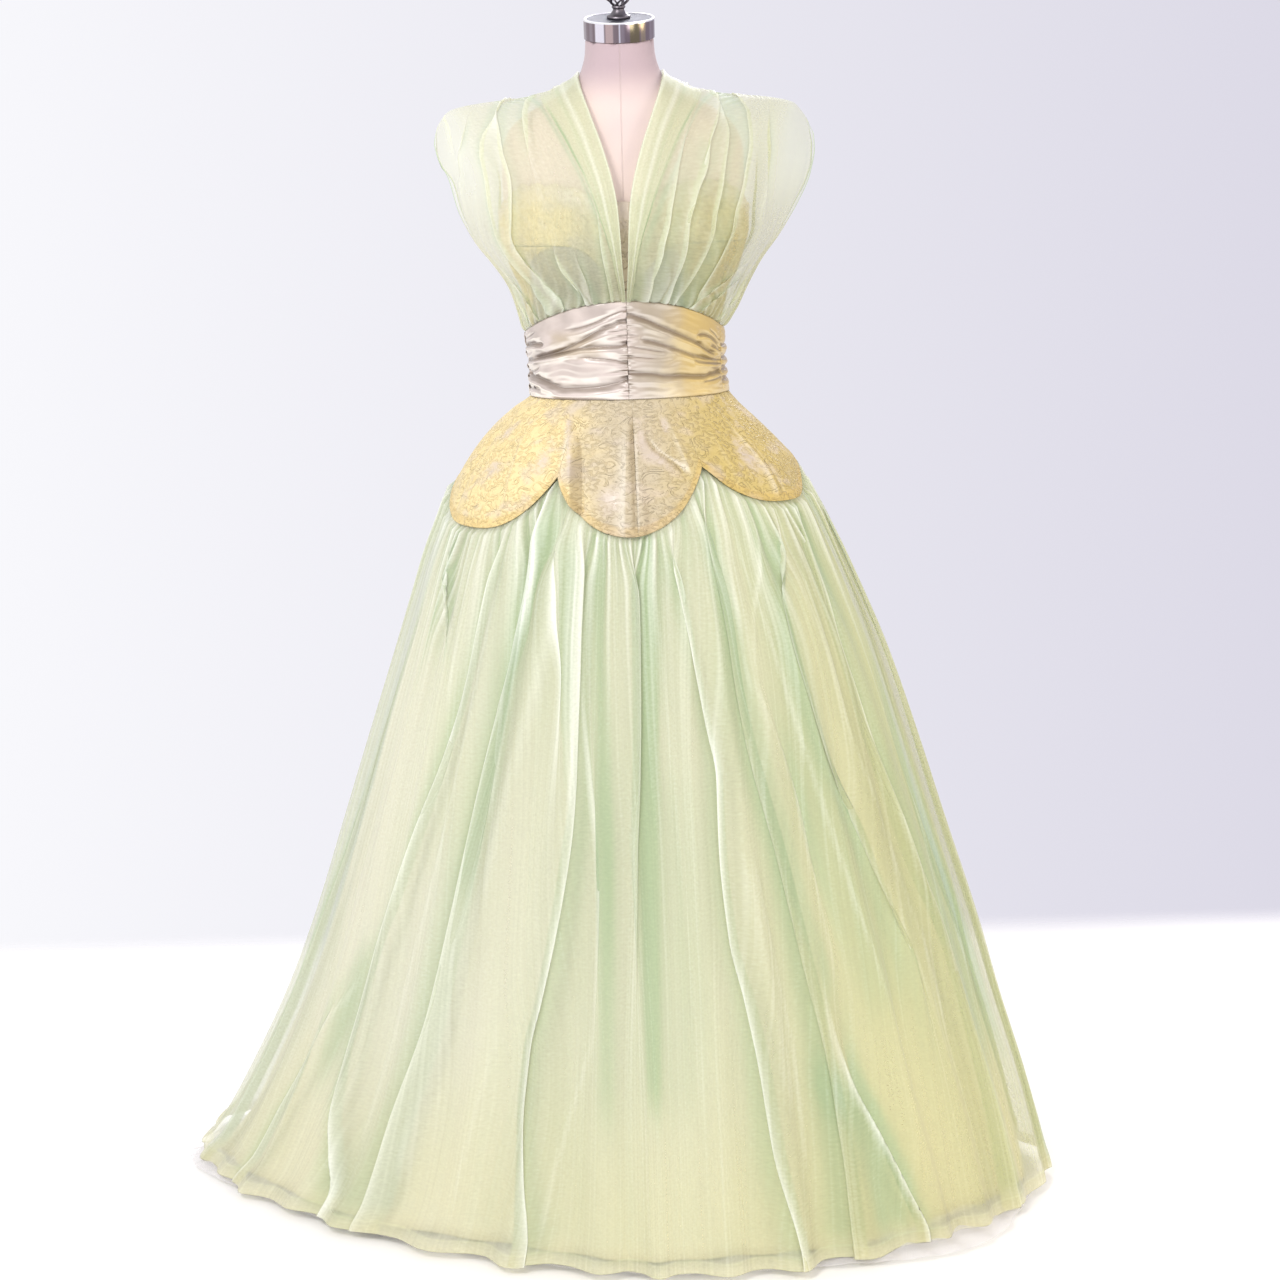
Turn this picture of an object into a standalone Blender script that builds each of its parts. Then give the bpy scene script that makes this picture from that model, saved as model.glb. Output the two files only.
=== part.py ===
"""Floor-length party dress on a dress form: sheer gathered gown over taffeta, with a ruched satin
cummerbund and a scalloped hip yoke.  Metres, +Z up, the front faces -Y, origin under the stand.

Every section round the figure is read at a turn in degrees: 0 is the centre front, 90 the viewer's
right side, 180 the centre back and -90 the viewer's left side.
"""
import bisect
import math
from types import SimpleNamespace

import bpy
from mathutils import Vector

# Cloth walls, their seams and how layers lie on each other
SEAM = 0.0003               # half of the gap between two sewn pieces, as a length
SEAM_TURN = 0.12            # the same gap at an upright seam, in degrees
SATIN_WALL = 0.0022
LACE_WALL = 0.0024
YOKE_LAP = 0.0150           # the skirt's top edge is caught this far up under the yoke
TUCK_GAP = 0.0018           # and lies this far behind it
SHEER_WALL = 0.0022
BODICE_WALL = 0.0012
BAND_WALL = 0.0016
TAFFETA_WALL = 0.0014
LAYER_GAP = 0.0007

# Heights of the dress above the floor
WAIST_SEAM_SIDE = 1.1120    # cummerbund's top edge at the sides and back
WAIST_SEAM_PEAK = 0.0400    # how much higher that edge stands at the centre front
YOKE_SEAM = 1.0340          # cummerbund's straight lower edge
WAIST_SEAM_REST = 1.1300    # height that the bodice's levels count the waist seam from
SHOULDER_REST = 1.3900      # height of a level shoulder seam
HEM = 0.0100

# Dress form and stand
FORM_SIDES = 36
NECK_TILT = math.radians(12.0)
NECK_CENTRE = 1.4668        # middle of the slanted top of the neck
CAP_RADIUS = 0.0435
CAP_HEIGHT = 0.0240
POLE_RADIUS = 0.0125
BASE_RADIUS = 0.1700
BASE_HEIGHT = 0.0260
FORM_BOTTOM = 0.7900


class Table:
    """A short table with named columns, read between its rows by a smooth curve that never
    overshoots them."""

    def __init__(self, names, rows):
        self.names = names.split()
        self.rows = sorted(rows)
        self.keys = [row[0] for row in self.rows]

    def slope(self, i, c):
        """Slope of column c at row i, the harmonic mean of the slopes on both sides."""
        if i == 0 or i == len(self.rows) - 1:
            return 0.0
        before, here, after = self.rows[i - 1], self.rows[i], self.rows[i + 1]
        low = (here[c] - before[c]) / (here[0] - before[0])
        high = (after[c] - here[c]) / (after[0] - here[0])
        if low * high <= 0.0:
            return 0.0
        return 2.0 * low * high / (low + high)

    def at(self, key):
        """All columns at one key, as named values."""
        key = min(max(key, self.keys[0]), self.keys[-1])
        i = min(max(bisect.bisect_right(self.keys, key) - 1, 0), len(self.rows) - 2)
        low, high = self.rows[i], self.rows[i + 1]
        width = high[0] - low[0]
        t = (key - low[0]) / width
        values = {self.names[0]: key}
        for c in range(1, len(self.names)):
            values[self.names[c]] = (
                low[c] * (2 * t ** 3 - 3 * t ** 2 + 1)
                + self.slope(i, c) * width * (t ** 3 - 2 * t ** 2 + t)
                + high[c] * (3 * t ** 2 - 2 * t ** 3)
                + self.slope(i + 1, c) * width * (t ** 3 - t ** 2))
        return SimpleNamespace(**values)


# Half sizes of the padded dress form from its foot to the top of the neck
FORM = Table("z half front back round", [
    (0.790, 0.135, 0.095, 0.105, 2.1),
    (0.800, 0.147, 0.103, 0.113, 2.1),
    (0.860, 0.158, 0.112, 0.122, 2.1),
    (0.910, 0.159, 0.113, 0.124, 2.1),
    (0.970, 0.145, 0.103, 0.115, 2.1),
    (1.020, 0.116, 0.086, 0.086, 2.1),
    (1.060, 0.109, 0.081, 0.075, 2.1),
    (1.100, 0.110, 0.083, 0.076, 2.1),
    (1.150, 0.121, 0.090, 0.081, 2.1),
    (1.200, 0.140, 0.108, 0.088, 2.1),
    (1.235, 0.149, 0.121, 0.093, 2.1),
    (1.270, 0.150, 0.116, 0.095, 2.1),
    (1.310, 0.151, 0.100, 0.095, 2.1),
    (1.340, 0.150, 0.083, 0.090, 2.1),
    (1.365, 0.138, 0.068, 0.080, 2.0),
    (1.383, 0.112, 0.057, 0.068, 2.0),
    (1.398, 0.080, 0.051, 0.058, 2.0),
    (1.411, 0.058, 0.048, 0.052, 2.0),
    (1.428, 0.048, 0.046, 0.047, 2.0),
    (1.448, 0.0425, 0.043, 0.043, 2.0),
])

# Outer half sizes of the worn dress from the bust seam down to the hem, without its folds
GARMENT = Table("z left right front back mid skew round", [
    (1.155, 0.1350, 0.1310, 0.0995, 0.0920, 0.000, 0.00, 2.05),
    (1.130, 0.1300, 0.1245, 0.0960, 0.0885, 0.000, 0.00, 2.05),
    (1.112, 0.1275, 0.1205, 0.0935, 0.0865, 0.000, 0.00, 2.05),
    (1.090, 0.1230, 0.1190, 0.0915, 0.0845, 0.000, 0.00, 2.05),
    (1.070, 0.1210, 0.1190, 0.0905, 0.0838, 0.000, 0.00, 2.05),
    (1.050, 0.1210, 0.1205, 0.0912, 0.0848, 0.000, 0.00, 2.05),
    (1.034, 0.1235, 0.1255, 0.0945, 0.0885, 0.000, 0.00, 2.05),
    (1.018, 0.1450, 0.1380, 0.1040, 0.0970, 0.000, 0.00, 2.05),
    (0.997, 0.1700, 0.1600, 0.1170, 0.1090, 0.000, 0.00, 2.05),
    (0.970, 0.1950, 0.1860, 0.1330, 0.1240, 0.000, 0.00, 2.05),
    (0.945, 0.2130, 0.2070, 0.1480, 0.1380, 0.000, 0.00, 2.05),
    (0.918, 0.2280, 0.2210, 0.1620, 0.1530, 0.000, 0.00, 2.05),
    (0.885, 0.2420, 0.2400, 0.1750, 0.1700, 0.000, 0.00, 2.05),
    (0.840, 0.2620, 0.2610, 0.1880, 0.1900, 0.000, 0.00, 2.00),
    (0.780, 0.2830, 0.2870, 0.2020, 0.2150, 0.000, 0.00, 2.00),
    (0.700, 0.3110, 0.3190, 0.2210, 0.2450, -0.002, -0.01, 1.95),
    (0.600, 0.3460, 0.3520, 0.2420, 0.2790, -0.005, -0.02, 1.90),
    (0.480, 0.3870, 0.3890, 0.2660, 0.3150, -0.010, -0.04, 1.85),
    (0.350, 0.4320, 0.4290, 0.2910, 0.3500, -0.016, -0.07, 1.80),
    (0.250, 0.4720, 0.4560, 0.3080, 0.3730, -0.021, -0.09, 1.75),
    (0.150, 0.5210, 0.4860, 0.3230, 0.3920, -0.025, -0.11, 1.72),
    (0.050, 0.5780, 0.5120, 0.3360, 0.4070, -0.028, -0.12, 1.70),
    (0.003, 0.6150, 0.5220, 0.3420, 0.4130, -0.029, -0.12, 1.70),
])

# Scallops of the yoke's lower edge, each from one cusp to the next
SCALLOPS = Table("start end start_z end_z low_z low_at power", [
    (-93.0, -23.5, 0.930, 0.946, 0.882, 0.62, 2.2),
    (-23.5, 24.5, 0.946, 0.953, 0.876, 0.47, 2.1),
    (24.5, 93.0, 0.953, 0.951, 0.904, 0.45, 2.4),
    (93.0, 155.0, 0.951, 0.945, 0.890, 0.48, 2.2),
    (155.0, 205.0, 0.945, 0.945, 0.879, 0.50, 2.1),
    (205.0, 267.0, 0.945, 0.930, 0.886, 0.52, 2.2),
])

# Flutes of the stiff yoke: where each ridge stands, how far out and how wide it is at the edge
YOKE_FLUTES = (
    (-62.0, 0.0030, 9.0), (-21.0, 0.0055, 4.0), (1.5, 0.0065, 3.2), (27.0, 0.0050, 5.0),
    (60.0, 0.0030, 9.0), (120.0, 0.0040, 8.0), (158.0, 0.0050, 5.0), (180.0, 0.0055, 5.0),
    (203.0, 0.0050, 5.0), (240.0, 0.0040, 8.0),
)

# Ridges of the skirt's folds: turn at the yoke, turn at the hem, how far each stands out at the hem
SKIRT_FOLDS = Table("top hem rise", [
    (-91.0, -91.0, 0.010), (-80.0, -79.0, 0.013), (-69.0, -70.0, 0.010), (-58.0, -61.0, 0.018),
    (-47.0, -52.0, 0.013), (-34.0, -43.0, 0.020), (-23.0, -30.0, 0.016), (-11.5, -19.5, 0.026),
    (-4.0, -8.0, 0.014), (2.5, 1.5, 0.020), (10.0, 13.0, 0.014), (17.0, 23.5, 0.026),
    (25.0, 34.0, 0.015), (34.0, 46.5, 0.020), (45.0, 55.0, 0.010), (57.0, 65.0, 0.015),
    (69.0, 77.0, 0.009), (81.0, 88.0, 0.012), (94.0, 98.0, 0.020), (107.0, 109.0, 0.024),
    (119.0, 120.0, 0.018), (131.0, 131.0, 0.026), (143.0, 144.0, 0.020), (156.0, 155.0, 0.028),
    (168.0, 167.0, 0.020), (179.0, 180.0, 0.026), (191.0, 192.0, 0.018), (203.0, 204.0, 0.027),
    (216.0, 216.0, 0.021), (229.0, 230.0, 0.025), (242.0, 243.0, 0.018), (256.0, 256.0, 0.022),
])
FOLD_TOP = 0.900            # height where the folds begin
GATHERS = 56                # small gathers all round under the yoke
GATHER_RISE = 0.0030
GATHER_DROP = 0.0120        # they are full this far below the yoke's edge
GATHER_FADE = 0.060         # they die out over about this height

# Rings of the skirt below the yoke; the upper ones carry twice as many points for the gathers
SKIRT_STEPS = 112
FINE_LEVELS = (0.832,)
SKIRT_LEVELS = (0.770, 0.600, 0.370, 0.160, HEM)

# The bodice from the waist seam to the shoulder seam: height, how much of the seam below and of the
# shoulder's own slope each level takes, half widths to the side or to the sleeve's edge, depths,
# half width of the open neckline, and the turn at which the cloth ends at the side or the armhole
BODICE = Table("level z waist rise rise_back left right front back neck end round", [
    (0, 1.130, 1.00, 0.00, 0.00, 0.1280, 0.1215, 0.0985, 0.0862, 0.0003, 90.0, 2.05),
    (1, 1.149, 0.60, 0.00, 0.00, 0.1340, 0.1370, 0.1070, 0.0930, 0.0010, 90.0, 2.05),
    (2, 1.173, 0.25, 0.00, 0.00, 0.1440, 0.1520, 0.1220, 0.0990, 0.0020, 90.0, 2.05),
    (3, 1.201, 0.00, 0.00, 0.00, 0.1650, 0.1710, 0.1370, 0.1060, 0.0035, 90.0, 2.00),
    (4, 1.228, 0.00, 0.00, 0.00, 0.1860, 0.1920, 0.1440, 0.1120, 0.0045, 86.0, 1.90),
    (5, 1.262, 0.00, 0.00, 0.10, 0.2030, 0.2130, 0.1400, 0.1160, 0.0065, 76.0, 1.80),
    (6, 1.300, 0.00, 0.00, 0.30, 0.2130, 0.2300, 0.1260, 0.1180, 0.0130, 72.0, 1.70),
    (7, 1.333, 0.00, 0.15, 0.60, 0.2270, 0.2360, 0.1040, 0.1080, 0.0240, 73.0, 1.65),
    (8, 1.359, 0.00, 0.45, 0.85, 0.2310, 0.2360, 0.0760, 0.0880, 0.0375, 76.0, 1.60),
    (9, 1.377, 0.00, 0.80, 1.02, 0.2300, 0.2330, 0.0450, 0.0560, 0.0480, 82.0, 1.60),
    (10, 1.387, 0.00, 0.97, 1.02, 0.2285, 0.2300, 0.0180, 0.0220, 0.0510, 87.0, 1.60),
    (11, 1.390, 0.00, 1.00, 1.00, 0.2270, 0.2280, 0.0010, 0.0010, 0.0500, 87.0, 1.60),
])

# Height of the shoulder seam out from the neck
SHOULDER = Table("x z", [
    (0.000, 1.4300), (0.046, 1.4290), (0.060, 1.4175), (0.075, 1.4090), (0.092, 1.4020),
    (0.120, 1.3960), (0.180, 1.3895), (0.210, 1.3830), (0.230, 1.3620), (0.240, 1.3560),
])

# Width of the folded neckline band at each level, as a share of the way to the side
BAND_SHARE = Table("level share", [
    (0, 0.030), (2, 0.090), (4, 0.145), (6, 0.165), (8, 0.180), (10, 0.190), (11, 0.190),
])
BAND_COLUMNS = 4

# Gathers of each front half: where each ridge stands from the band to the side, and how far out
FRONT_GATHERS = ((0.06, 0.0050), (0.18, 0.0065), (0.30, 0.0060), (0.43, 0.0070), (0.56, 0.0055),
                 (0.70, 0.0060), (0.87, 0.0045))
GATHER_WIDTH = 0.036
FRONT_COLUMNS = 27
BACK_GATHERS = 9
BACK_COLUMNS = 28
BACK_RISE = 0.0035
TOP_LEVEL = 11
CUT_LEVELS = (0, 1, 2, 3, 4.5, 6, 7.5, 9, 10, TOP_LEVEL)

# Draped folds of the cummerbund: height of each trough as a share of the satin's height at the
# centre seam, midway and at the side, and its depth
LEFT_RUCHES = ((0.885, 0.860, 0.750, 0.0028), (0.770, 0.660, 0.520, 0.0036),
               (0.550, 0.580, 0.460, 0.0026), (0.250, 0.120, 0.230, 0.0036))
RIGHT_RUCHES = ((0.860, 0.700, 0.640, 0.0034), (0.660, 0.570, 0.460, 0.0030),
                (0.440, 0.420, 0.330, 0.0022), (0.240, 0.250, 0.260, 0.0032))
BACK_RUCHES = ((0.780, 0.800, 0.780, 0.0028), (0.520, 0.500, 0.520, 0.0030),
               (0.250, 0.240, 0.250, 0.0028))
LEFT_SEAM_TURN = -88.0
RIGHT_SEAM_TURN = 70.0
RUCHE_WIDTH = 0.085         # half width of a trough, as a share of the height
RUCHE_FULLNESS = 0.0036

# Strapless underbodice: its top edge, and the seam between its lace and its satin midriff
BUST_EDGE = Table("turn z", [
    (0, 1.267), (12, 1.278), (30, 1.290), (48, 1.291), (62, 1.278), (78, 1.262), (92, 1.252),
    (120, 1.242), (180, 1.236),
])
MIDRIFF_SEAM = 1.2200
MIDRIFF_DIP = 0.0550        # the lace runs down to a point at the centre front
MIDRIFF_DIP_WIDTH = 13.0
MIDRIFF_FOOT = 1.1000
UNDERBODICE_EASE = 0.0046   # inner face off the form

# Underskirt and net flounce: how far each lies inside the skirt
UNDERSKIRT_STEPS = 40
UNDERSKIRT_LEVELS = (0.040, 0.240, 0.520, 0.800)
UNDERSKIRT_WAVES = 9
NET_WALL = 0.0012

# Back of the neckline: the cloth stands this far behind the middle of the neck
NECK_REACH = 0.0585


def power(value, exponent):
    """Power of a size, with the sign kept."""
    return math.copysign(abs(value) ** exponent, value)


def bump(distance, width):
    """Soft bump of height 1 around zero."""
    return math.exp(-(distance / width) ** 2)


def turn_gap(a, b):
    """Smallest turn between two directions, in degrees."""
    return (a - b + 180.0) % 360.0 - 180.0


def blend(low, high, share):
    return low + (high - low) * share


def smooth_share(share):
    share = min(max(share, 0.0), 1.0)
    return share * share * (3.0 - 2.0 * share)


def ring_point(row, z, turn, lift):
    """Point of a rounded section at a turn, moved out level with the floor by lift."""
    s, c = math.sin(math.radians(turn)), math.cos(math.radians(turn))
    exponent = 2.0 / row.round
    x = (row.right if s > 0 else row.left) * power(s, exponent)
    y = -(row.front if c > 0 else row.back) * power(c, exponent)
    reach = math.hypot(x, y + row.skew * x)
    scale = 1.0 + lift / reach
    return Vector((x * scale, (y + row.skew * x) * scale + row.mid, z))


def form_point(z, turn, lift=0.0):
    row = FORM.at(z)
    row.left = row.right = row.half
    row.mid = row.skew = 0.0
    return ring_point(row, z, turn, lift)


def garment_point(z, turn, lift=0.0):
    return ring_point(GARMENT.at(z), z, turn, lift)


def waist_seam(turn):
    """Height of the seam between bodice and cummerbund."""
    return WAIST_SEAM_SIDE + WAIST_SEAM_PEAK * max(math.cos(math.radians(turn)), 0.0) ** 1.7


def yoke_edge(turn):
    """Height of the yoke's scalloped lower edge."""
    turn = (turn + 93.0) % 360.0 - 93.0
    for start, end, start_z, end_z, low_z, low_at, roundness in SCALLOPS.rows:
        if start <= turn <= end:
            share = (turn - start) / (end - start)
            if share < low_at:
                return blend(low_z, start_z, (1.0 - share / low_at) ** roundness)
            return blend(low_z, end_z, ((share - low_at) / (1.0 - low_at)) ** roundness)
    return SCALLOPS.rows[0][2]


def yoke_lift(z, turn):
    """Flutes of the yoke, which grow from nothing at its seam to full size at its edge."""
    growth = smooth_share((YOKE_SEAM - 0.015 - z) / (YOKE_SEAM - 0.015 - yoke_edge(turn)))
    return growth * sum(rise * bump(turn_gap(turn, at), width) for at, rise, width in YOKE_FLUTES)


def fold_lift(z, turn):
    """Long folds of the skirt: crisp ridges at the table's turns, soft valleys between them."""
    drop = min(max((FOLD_TOP - z) / (FOLD_TOP - HEM), 0.0), 1.0)
    rows = SKIRT_FOLDS.rows
    ridges = [(blend(top, hem, drop ** 0.8), rise) for top, hem, rise in rows]
    ridges.append((ridges[0][0] + 360.0, ridges[0][1]))
    turn = (turn - ridges[0][0]) % 360.0 + ridges[0][0]
    for (start, low_rise), (end, high_rise) in zip(ridges, ridges[1:]):
        if start <= turn <= end:
            share = (turn - start) / (end - start)
            rise = blend(low_rise, high_rise, smooth_share(share))
            crest = (0.5 + 0.5 * math.cos(2.0 * math.pi * share)) ** 1.3
            return rise * (0.12 + 0.88 * drop ** 0.75) * (crest - 0.35) * smooth_share(drop * 12.0)
    return 0.0


def gather_lift(z, turn):
    """Small gathers that spring from under the yoke and die out below it."""
    fade = bump(max(yoke_edge(turn) - z, 0.0), GATHER_FADE)
    waver = 0.9 * math.sin(math.radians(7.0 * turn)) + 0.6 * math.sin(math.radians(13.0 * turn))
    return GATHER_RISE * fade * math.cos(math.radians(GATHERS * turn) + waver)


def ruche_lift(share, along, ruches):
    """Draped satin: rounded folds between troughs that run from the centre seam to the side."""
    lift = RUCHE_FULLNESS * math.sin(math.pi * min(max(share, 0.0), 1.0)) ** 0.6
    for centre, middle, side, depth in ruches:
        if along < 0.5:
            trough = blend(centre, middle, smooth_share(2.0 * along))
        else:
            trough = blend(middle, side, smooth_share(2.0 * along - 1.0))
        lift -= depth * bump(share - trough, RUCHE_WIDTH)
    return lift


def material(name, colour, roughness, metallic=0.0):
    """Plain finish of one piece."""
    made = bpy.data.materials.new(name)
    made.use_nodes = True
    shader = made.node_tree.nodes["Principled BSDF"]
    shader.inputs["Base Color"].default_value = (*colour, 1.0)
    shader.inputs["Roughness"].default_value = roughness
    shader.inputs["Metallic"].default_value = metallic
    return made


def strip(low, high, closed):
    """Triangles between two rings of point numbers, where one ring may have twice the points."""
    if closed:
        low = low + low[:1]
        high = high + high[:1]
    faces = []
    if len(low) == len(high):
        for a, b, c, d in zip(low, low[1:], high[1:], high):
            faces.append((a, b, c))
            faces.append((a, c, d))
        return faces
    coarse, fine = (low, high) if len(low) < len(high) else (high, low)
    for i in range(len(coarse) - 1):
        left, middle, right = fine[2 * i], fine[2 * i + 1], fine[2 * i + 2]
        trio = [(coarse[i], middle, left), (coarse[i], coarse[i + 1], middle),
                (coarse[i + 1], right, middle)]
        faces += trio if coarse is low else [face[::-1] for face in trio]
    return faces


def wall(name, outer, inner, finish, closed=False):
    """Closed wall between an outer and an inner set of rings, which run from the bottom up and
    turn from the viewer's left to the right across the front."""
    points = []

    def number(rings):
        numbered = []
        for ring in rings:
            numbered.append(list(range(len(points), len(points) + len(ring))))
            points.extend(ring)
        return numbered

    out, back = number(outer), number(inner)
    faces = []
    for low, high in zip(out, out[1:]):
        faces += strip(low, high, closed)
    for low, high in zip(back, back[1:]):
        faces += [face[::-1] for face in strip(low, high, closed)]
    faces += strip(back[0], out[0], closed)
    faces += strip(out[-1], back[-1], closed)
    if not closed:
        for end, turned in ((0, False), (-1, True)):
            for a, b, c, d in zip(out, out[1:], back[1:], back):
                corners = (a[end], b[end], c[end], d[end])
                if turned:
                    corners = corners[::-1]
                faces.append((corners[0], corners[1], corners[2]))
                faces.append((corners[0], corners[2], corners[3]))
    mesh = bpy.data.meshes.new(name)
    mesh.from_pydata([tuple(p) for p in points], [], faces)
    mesh.shade_smooth()
    mesh.set_sharp_from_angle(angle=math.radians(50.0))
    mesh.materials.append(finish)
    piece = bpy.data.objects.new(name, mesh)
    bpy.context.scene.collection.objects.link(piece)
    return piece


def capped_rings(name, rings, finish):
    """Solid body of closed rings from the bottom up, with flat ends."""
    points = [point for ring in rings for point in ring]
    count = len(rings[0])
    numbered = [list(range(i * count, (i + 1) * count)) for i in range(len(rings))]
    faces = []
    for low, high in zip(numbered, numbered[1:]):
        faces += strip(low, high, True)
    faces.append(tuple(reversed(numbered[0])))
    faces.append(tuple(numbered[-1]))
    mesh = bpy.data.meshes.new(name)
    mesh.from_pydata([tuple(p) for p in points], [], faces)
    mesh.shade_smooth()
    mesh.set_sharp_from_angle(angle=math.radians(40.0))
    mesh.materials.append(finish)
    piece = bpy.data.objects.new(name, mesh)
    bpy.context.scene.collection.objects.link(piece)
    return piece


def turns_between(start, end, count):
    """Evenly spaced turns, both ends included."""
    return [blend(start, end, i / count) for i in range(count + 1)]


def turns_through(spans):
    """Turns evenly spaced within each span of start, end and count, drawn in at both ends by the
    width of a seam."""
    turns = [blend(start, end, i / count) for start, end, count in spans for i in range(count)]
    turns.append(spans[-1][1] - SEAM_TURN)
    turns[0] += SEAM_TURN
    return turns


def lathe_ring(radius, z, sides, tilt=0.0, centre=(0.0, 0.0, 0.0)):
    """Level ring round an upright axis, then tipped forward by tilt about its centre."""
    ring = []
    for i in range(sides):
        angle = math.radians(360.0 * i / sides)
        point = Vector((radius * math.sin(angle), -radius * math.cos(angle), z))
        y = point.y * math.cos(tilt) - point.z * math.sin(tilt)
        height = point.y * math.sin(tilt) + point.z * math.cos(tilt)
        ring.append(Vector((point.x, y, height)) + Vector(centre))
    return ring


def make_form():
    """Padded torso with its neck, one smooth whole body, cut off aslant at the top of the neck."""
    linen = material("form_linen", (0.86, 0.80, 0.74), 0.85)
    turns = [360.0 * i / FORM_SIDES for i in range(FORM_SIDES)]
    rings = [[form_point(z, turn) for turn in turns] for z in FORM.keys]
    rings.append(lathe_ring(CAP_RADIUS - 0.0010, 0.0, FORM_SIDES, NECK_TILT, (0, 0, NECK_CENTRE)))
    capped_rings("form_torso", rings, linen)


def make_neck_cap():
    """Flat metal cap that closes the slanted neck."""
    steel = material("cap_steel", (0.55, 0.52, 0.50), 0.22, 1.0)
    profile = ((CAP_RADIUS, SEAM), (CAP_RADIUS, CAP_HEIGHT - 0.0012),
               (CAP_RADIUS - 0.0012, CAP_HEIGHT))
    rings = [lathe_ring(radius, z, 32, NECK_TILT, (0, 0, NECK_CENTRE)) for radius, z in profile]
    capped_rings("neck_cap", rings, steel)


def make_finial():
    """Dark turned knob on the cap: a foot, a waist and a ball of twisted bars."""
    iron = material("finial_iron", (0.10, 0.09, 0.10), 0.35, 0.9)
    foot = CAP_HEIGHT + SEAM
    profile = ((0.0145, 0.0), (0.0145, 0.0030), (0.0105, 0.0065), (0.0085, 0.0105),
               (0.0125, 0.0140), (0.0160, 0.0210), (0.0172, 0.0290), (0.0150, 0.0370),
               (0.0090, 0.0425), (0.0045, 0.0450), (0.0045, 0.0490), (0.0020, 0.0510))
    ribbed_from, ribbed_to, bars = 4, 8, 6
    rings = []
    for i, (radius, height) in enumerate(profile):
        ring = lathe_ring(radius, foot + height, 20, NECK_TILT, (0, 0, NECK_CENTRE))
        if ribbed_from <= i <= ribbed_to:
            axis = sum(ring, Vector()) / len(ring)
            for k, point in enumerate(ring):
                wave = math.cos(math.radians(bars * (360.0 * k / len(ring)) + 40.0 * i))
                ring[k] = axis + (point - axis) * (0.95 + 0.07 * wave)
        rings.append(ring)
    capped_rings("finial", rings, iron)


def make_stand():
    """Pole and round foot under the form."""
    enamel = material("stand_enamel", (0.08, 0.08, 0.085), 0.4, 0.3)
    foot = ((BASE_RADIUS, 0.0), (BASE_RADIUS, 0.010), (BASE_RADIUS - 0.012, 0.016),
            (0.050, BASE_HEIGHT - 0.004), (0.030, BASE_HEIGHT))
    capped_rings("stand_base", [lathe_ring(radius, z, 32) for radius, z in foot], enamel)
    steel = material("pole_steel", (0.60, 0.60, 0.62), 0.25, 1.0)
    collar = 0.022
    pole = ((POLE_RADIUS, BASE_HEIGHT + SEAM), (POLE_RADIUS, FORM_BOTTOM - 0.060),
            (collar, FORM_BOTTOM - 0.055), (collar, FORM_BOTTOM - SEAM))
    capped_rings("stand_pole", [lathe_ring(radius, z, 16) for radius, z in pole], steel)


def bust_edge(turn):
    return BUST_EDGE.at(abs(turn_gap(turn, 0.0))).z


def midriff_seam(turn):
    return MIDRIFF_SEAM - MIDRIFF_DIP * bump(turn_gap(turn, 0.0), MIDRIFF_DIP_WIDTH)


def underbodice_point(z, turn, lift):
    """Face of the strapless underbodice: snug on the form at its foot, and inside the cummerbund."""
    row = FORM.at(z)
    garment = GARMENT.at(max(z, MIDRIFF_FOOT))
    inset = SATIN_WALL + 3.0 * LAYER_GAP + TAFFETA_WALL
    hug = smooth_share((z - MIDRIFF_FOOT) / 0.030) * (1.0 - smooth_share((z - 1.150) / 0.030))
    ease = blend(0.0006, UNDERBODICE_EASE, smooth_share((z - MIDRIFF_FOOT) / 0.050))
    row.left = blend(row.half + ease, min(garment.left - inset, row.half + 0.006), hug)
    row.right = blend(row.half + ease, min(garment.right - inset, row.half + 0.006), hug)
    row.front = blend(row.front + ease, min(garment.front - inset, row.front + 0.006), hug)
    row.back = blend(row.back + ease, min(garment.back - inset, row.back + 0.006), hug)
    row.round = blend(row.round, garment.round, hug)
    row.mid = row.skew = 0.0
    return ring_point(row, z, turn, lift)


def make_underbodice():
    """Strapless underbodice: lace over the bust, with a plain satin midriff sewn below it."""
    lace = material("underbodice_lace", (0.80, 0.66, 0.36), 0.7)
    satin = material("midriff_satin", (0.55, 0.50, 0.42), 0.45)
    turns = [360.0 * i / FORM_SIDES for i in range(FORM_SIDES)]

    def shell(name, foot, top, shares, finish):
        outer, inner = [], []
        for share in shares:
            heights = [blend(foot(turn), top(turn), share) for turn in turns]
            outer.append([underbodice_point(z, turn, TAFFETA_WALL) for z, turn in zip(heights, turns)])
            inner.append([underbodice_point(z, turn, 0.0) for z, turn in zip(heights, turns)])
        wall(name, outer, inner, finish, closed=True)

    shell("underbodice_midriff", lambda turn: MIDRIFF_FOOT, lambda turn: midriff_seam(turn) - SEAM,
          (0.0, 0.33, 0.67, 1.0), satin)
    shell("underbodice_lace", lambda turn: midriff_seam(turn) + SEAM, bust_edge,
          (0.0, 0.33, 0.67, 1.0), lace)


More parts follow.
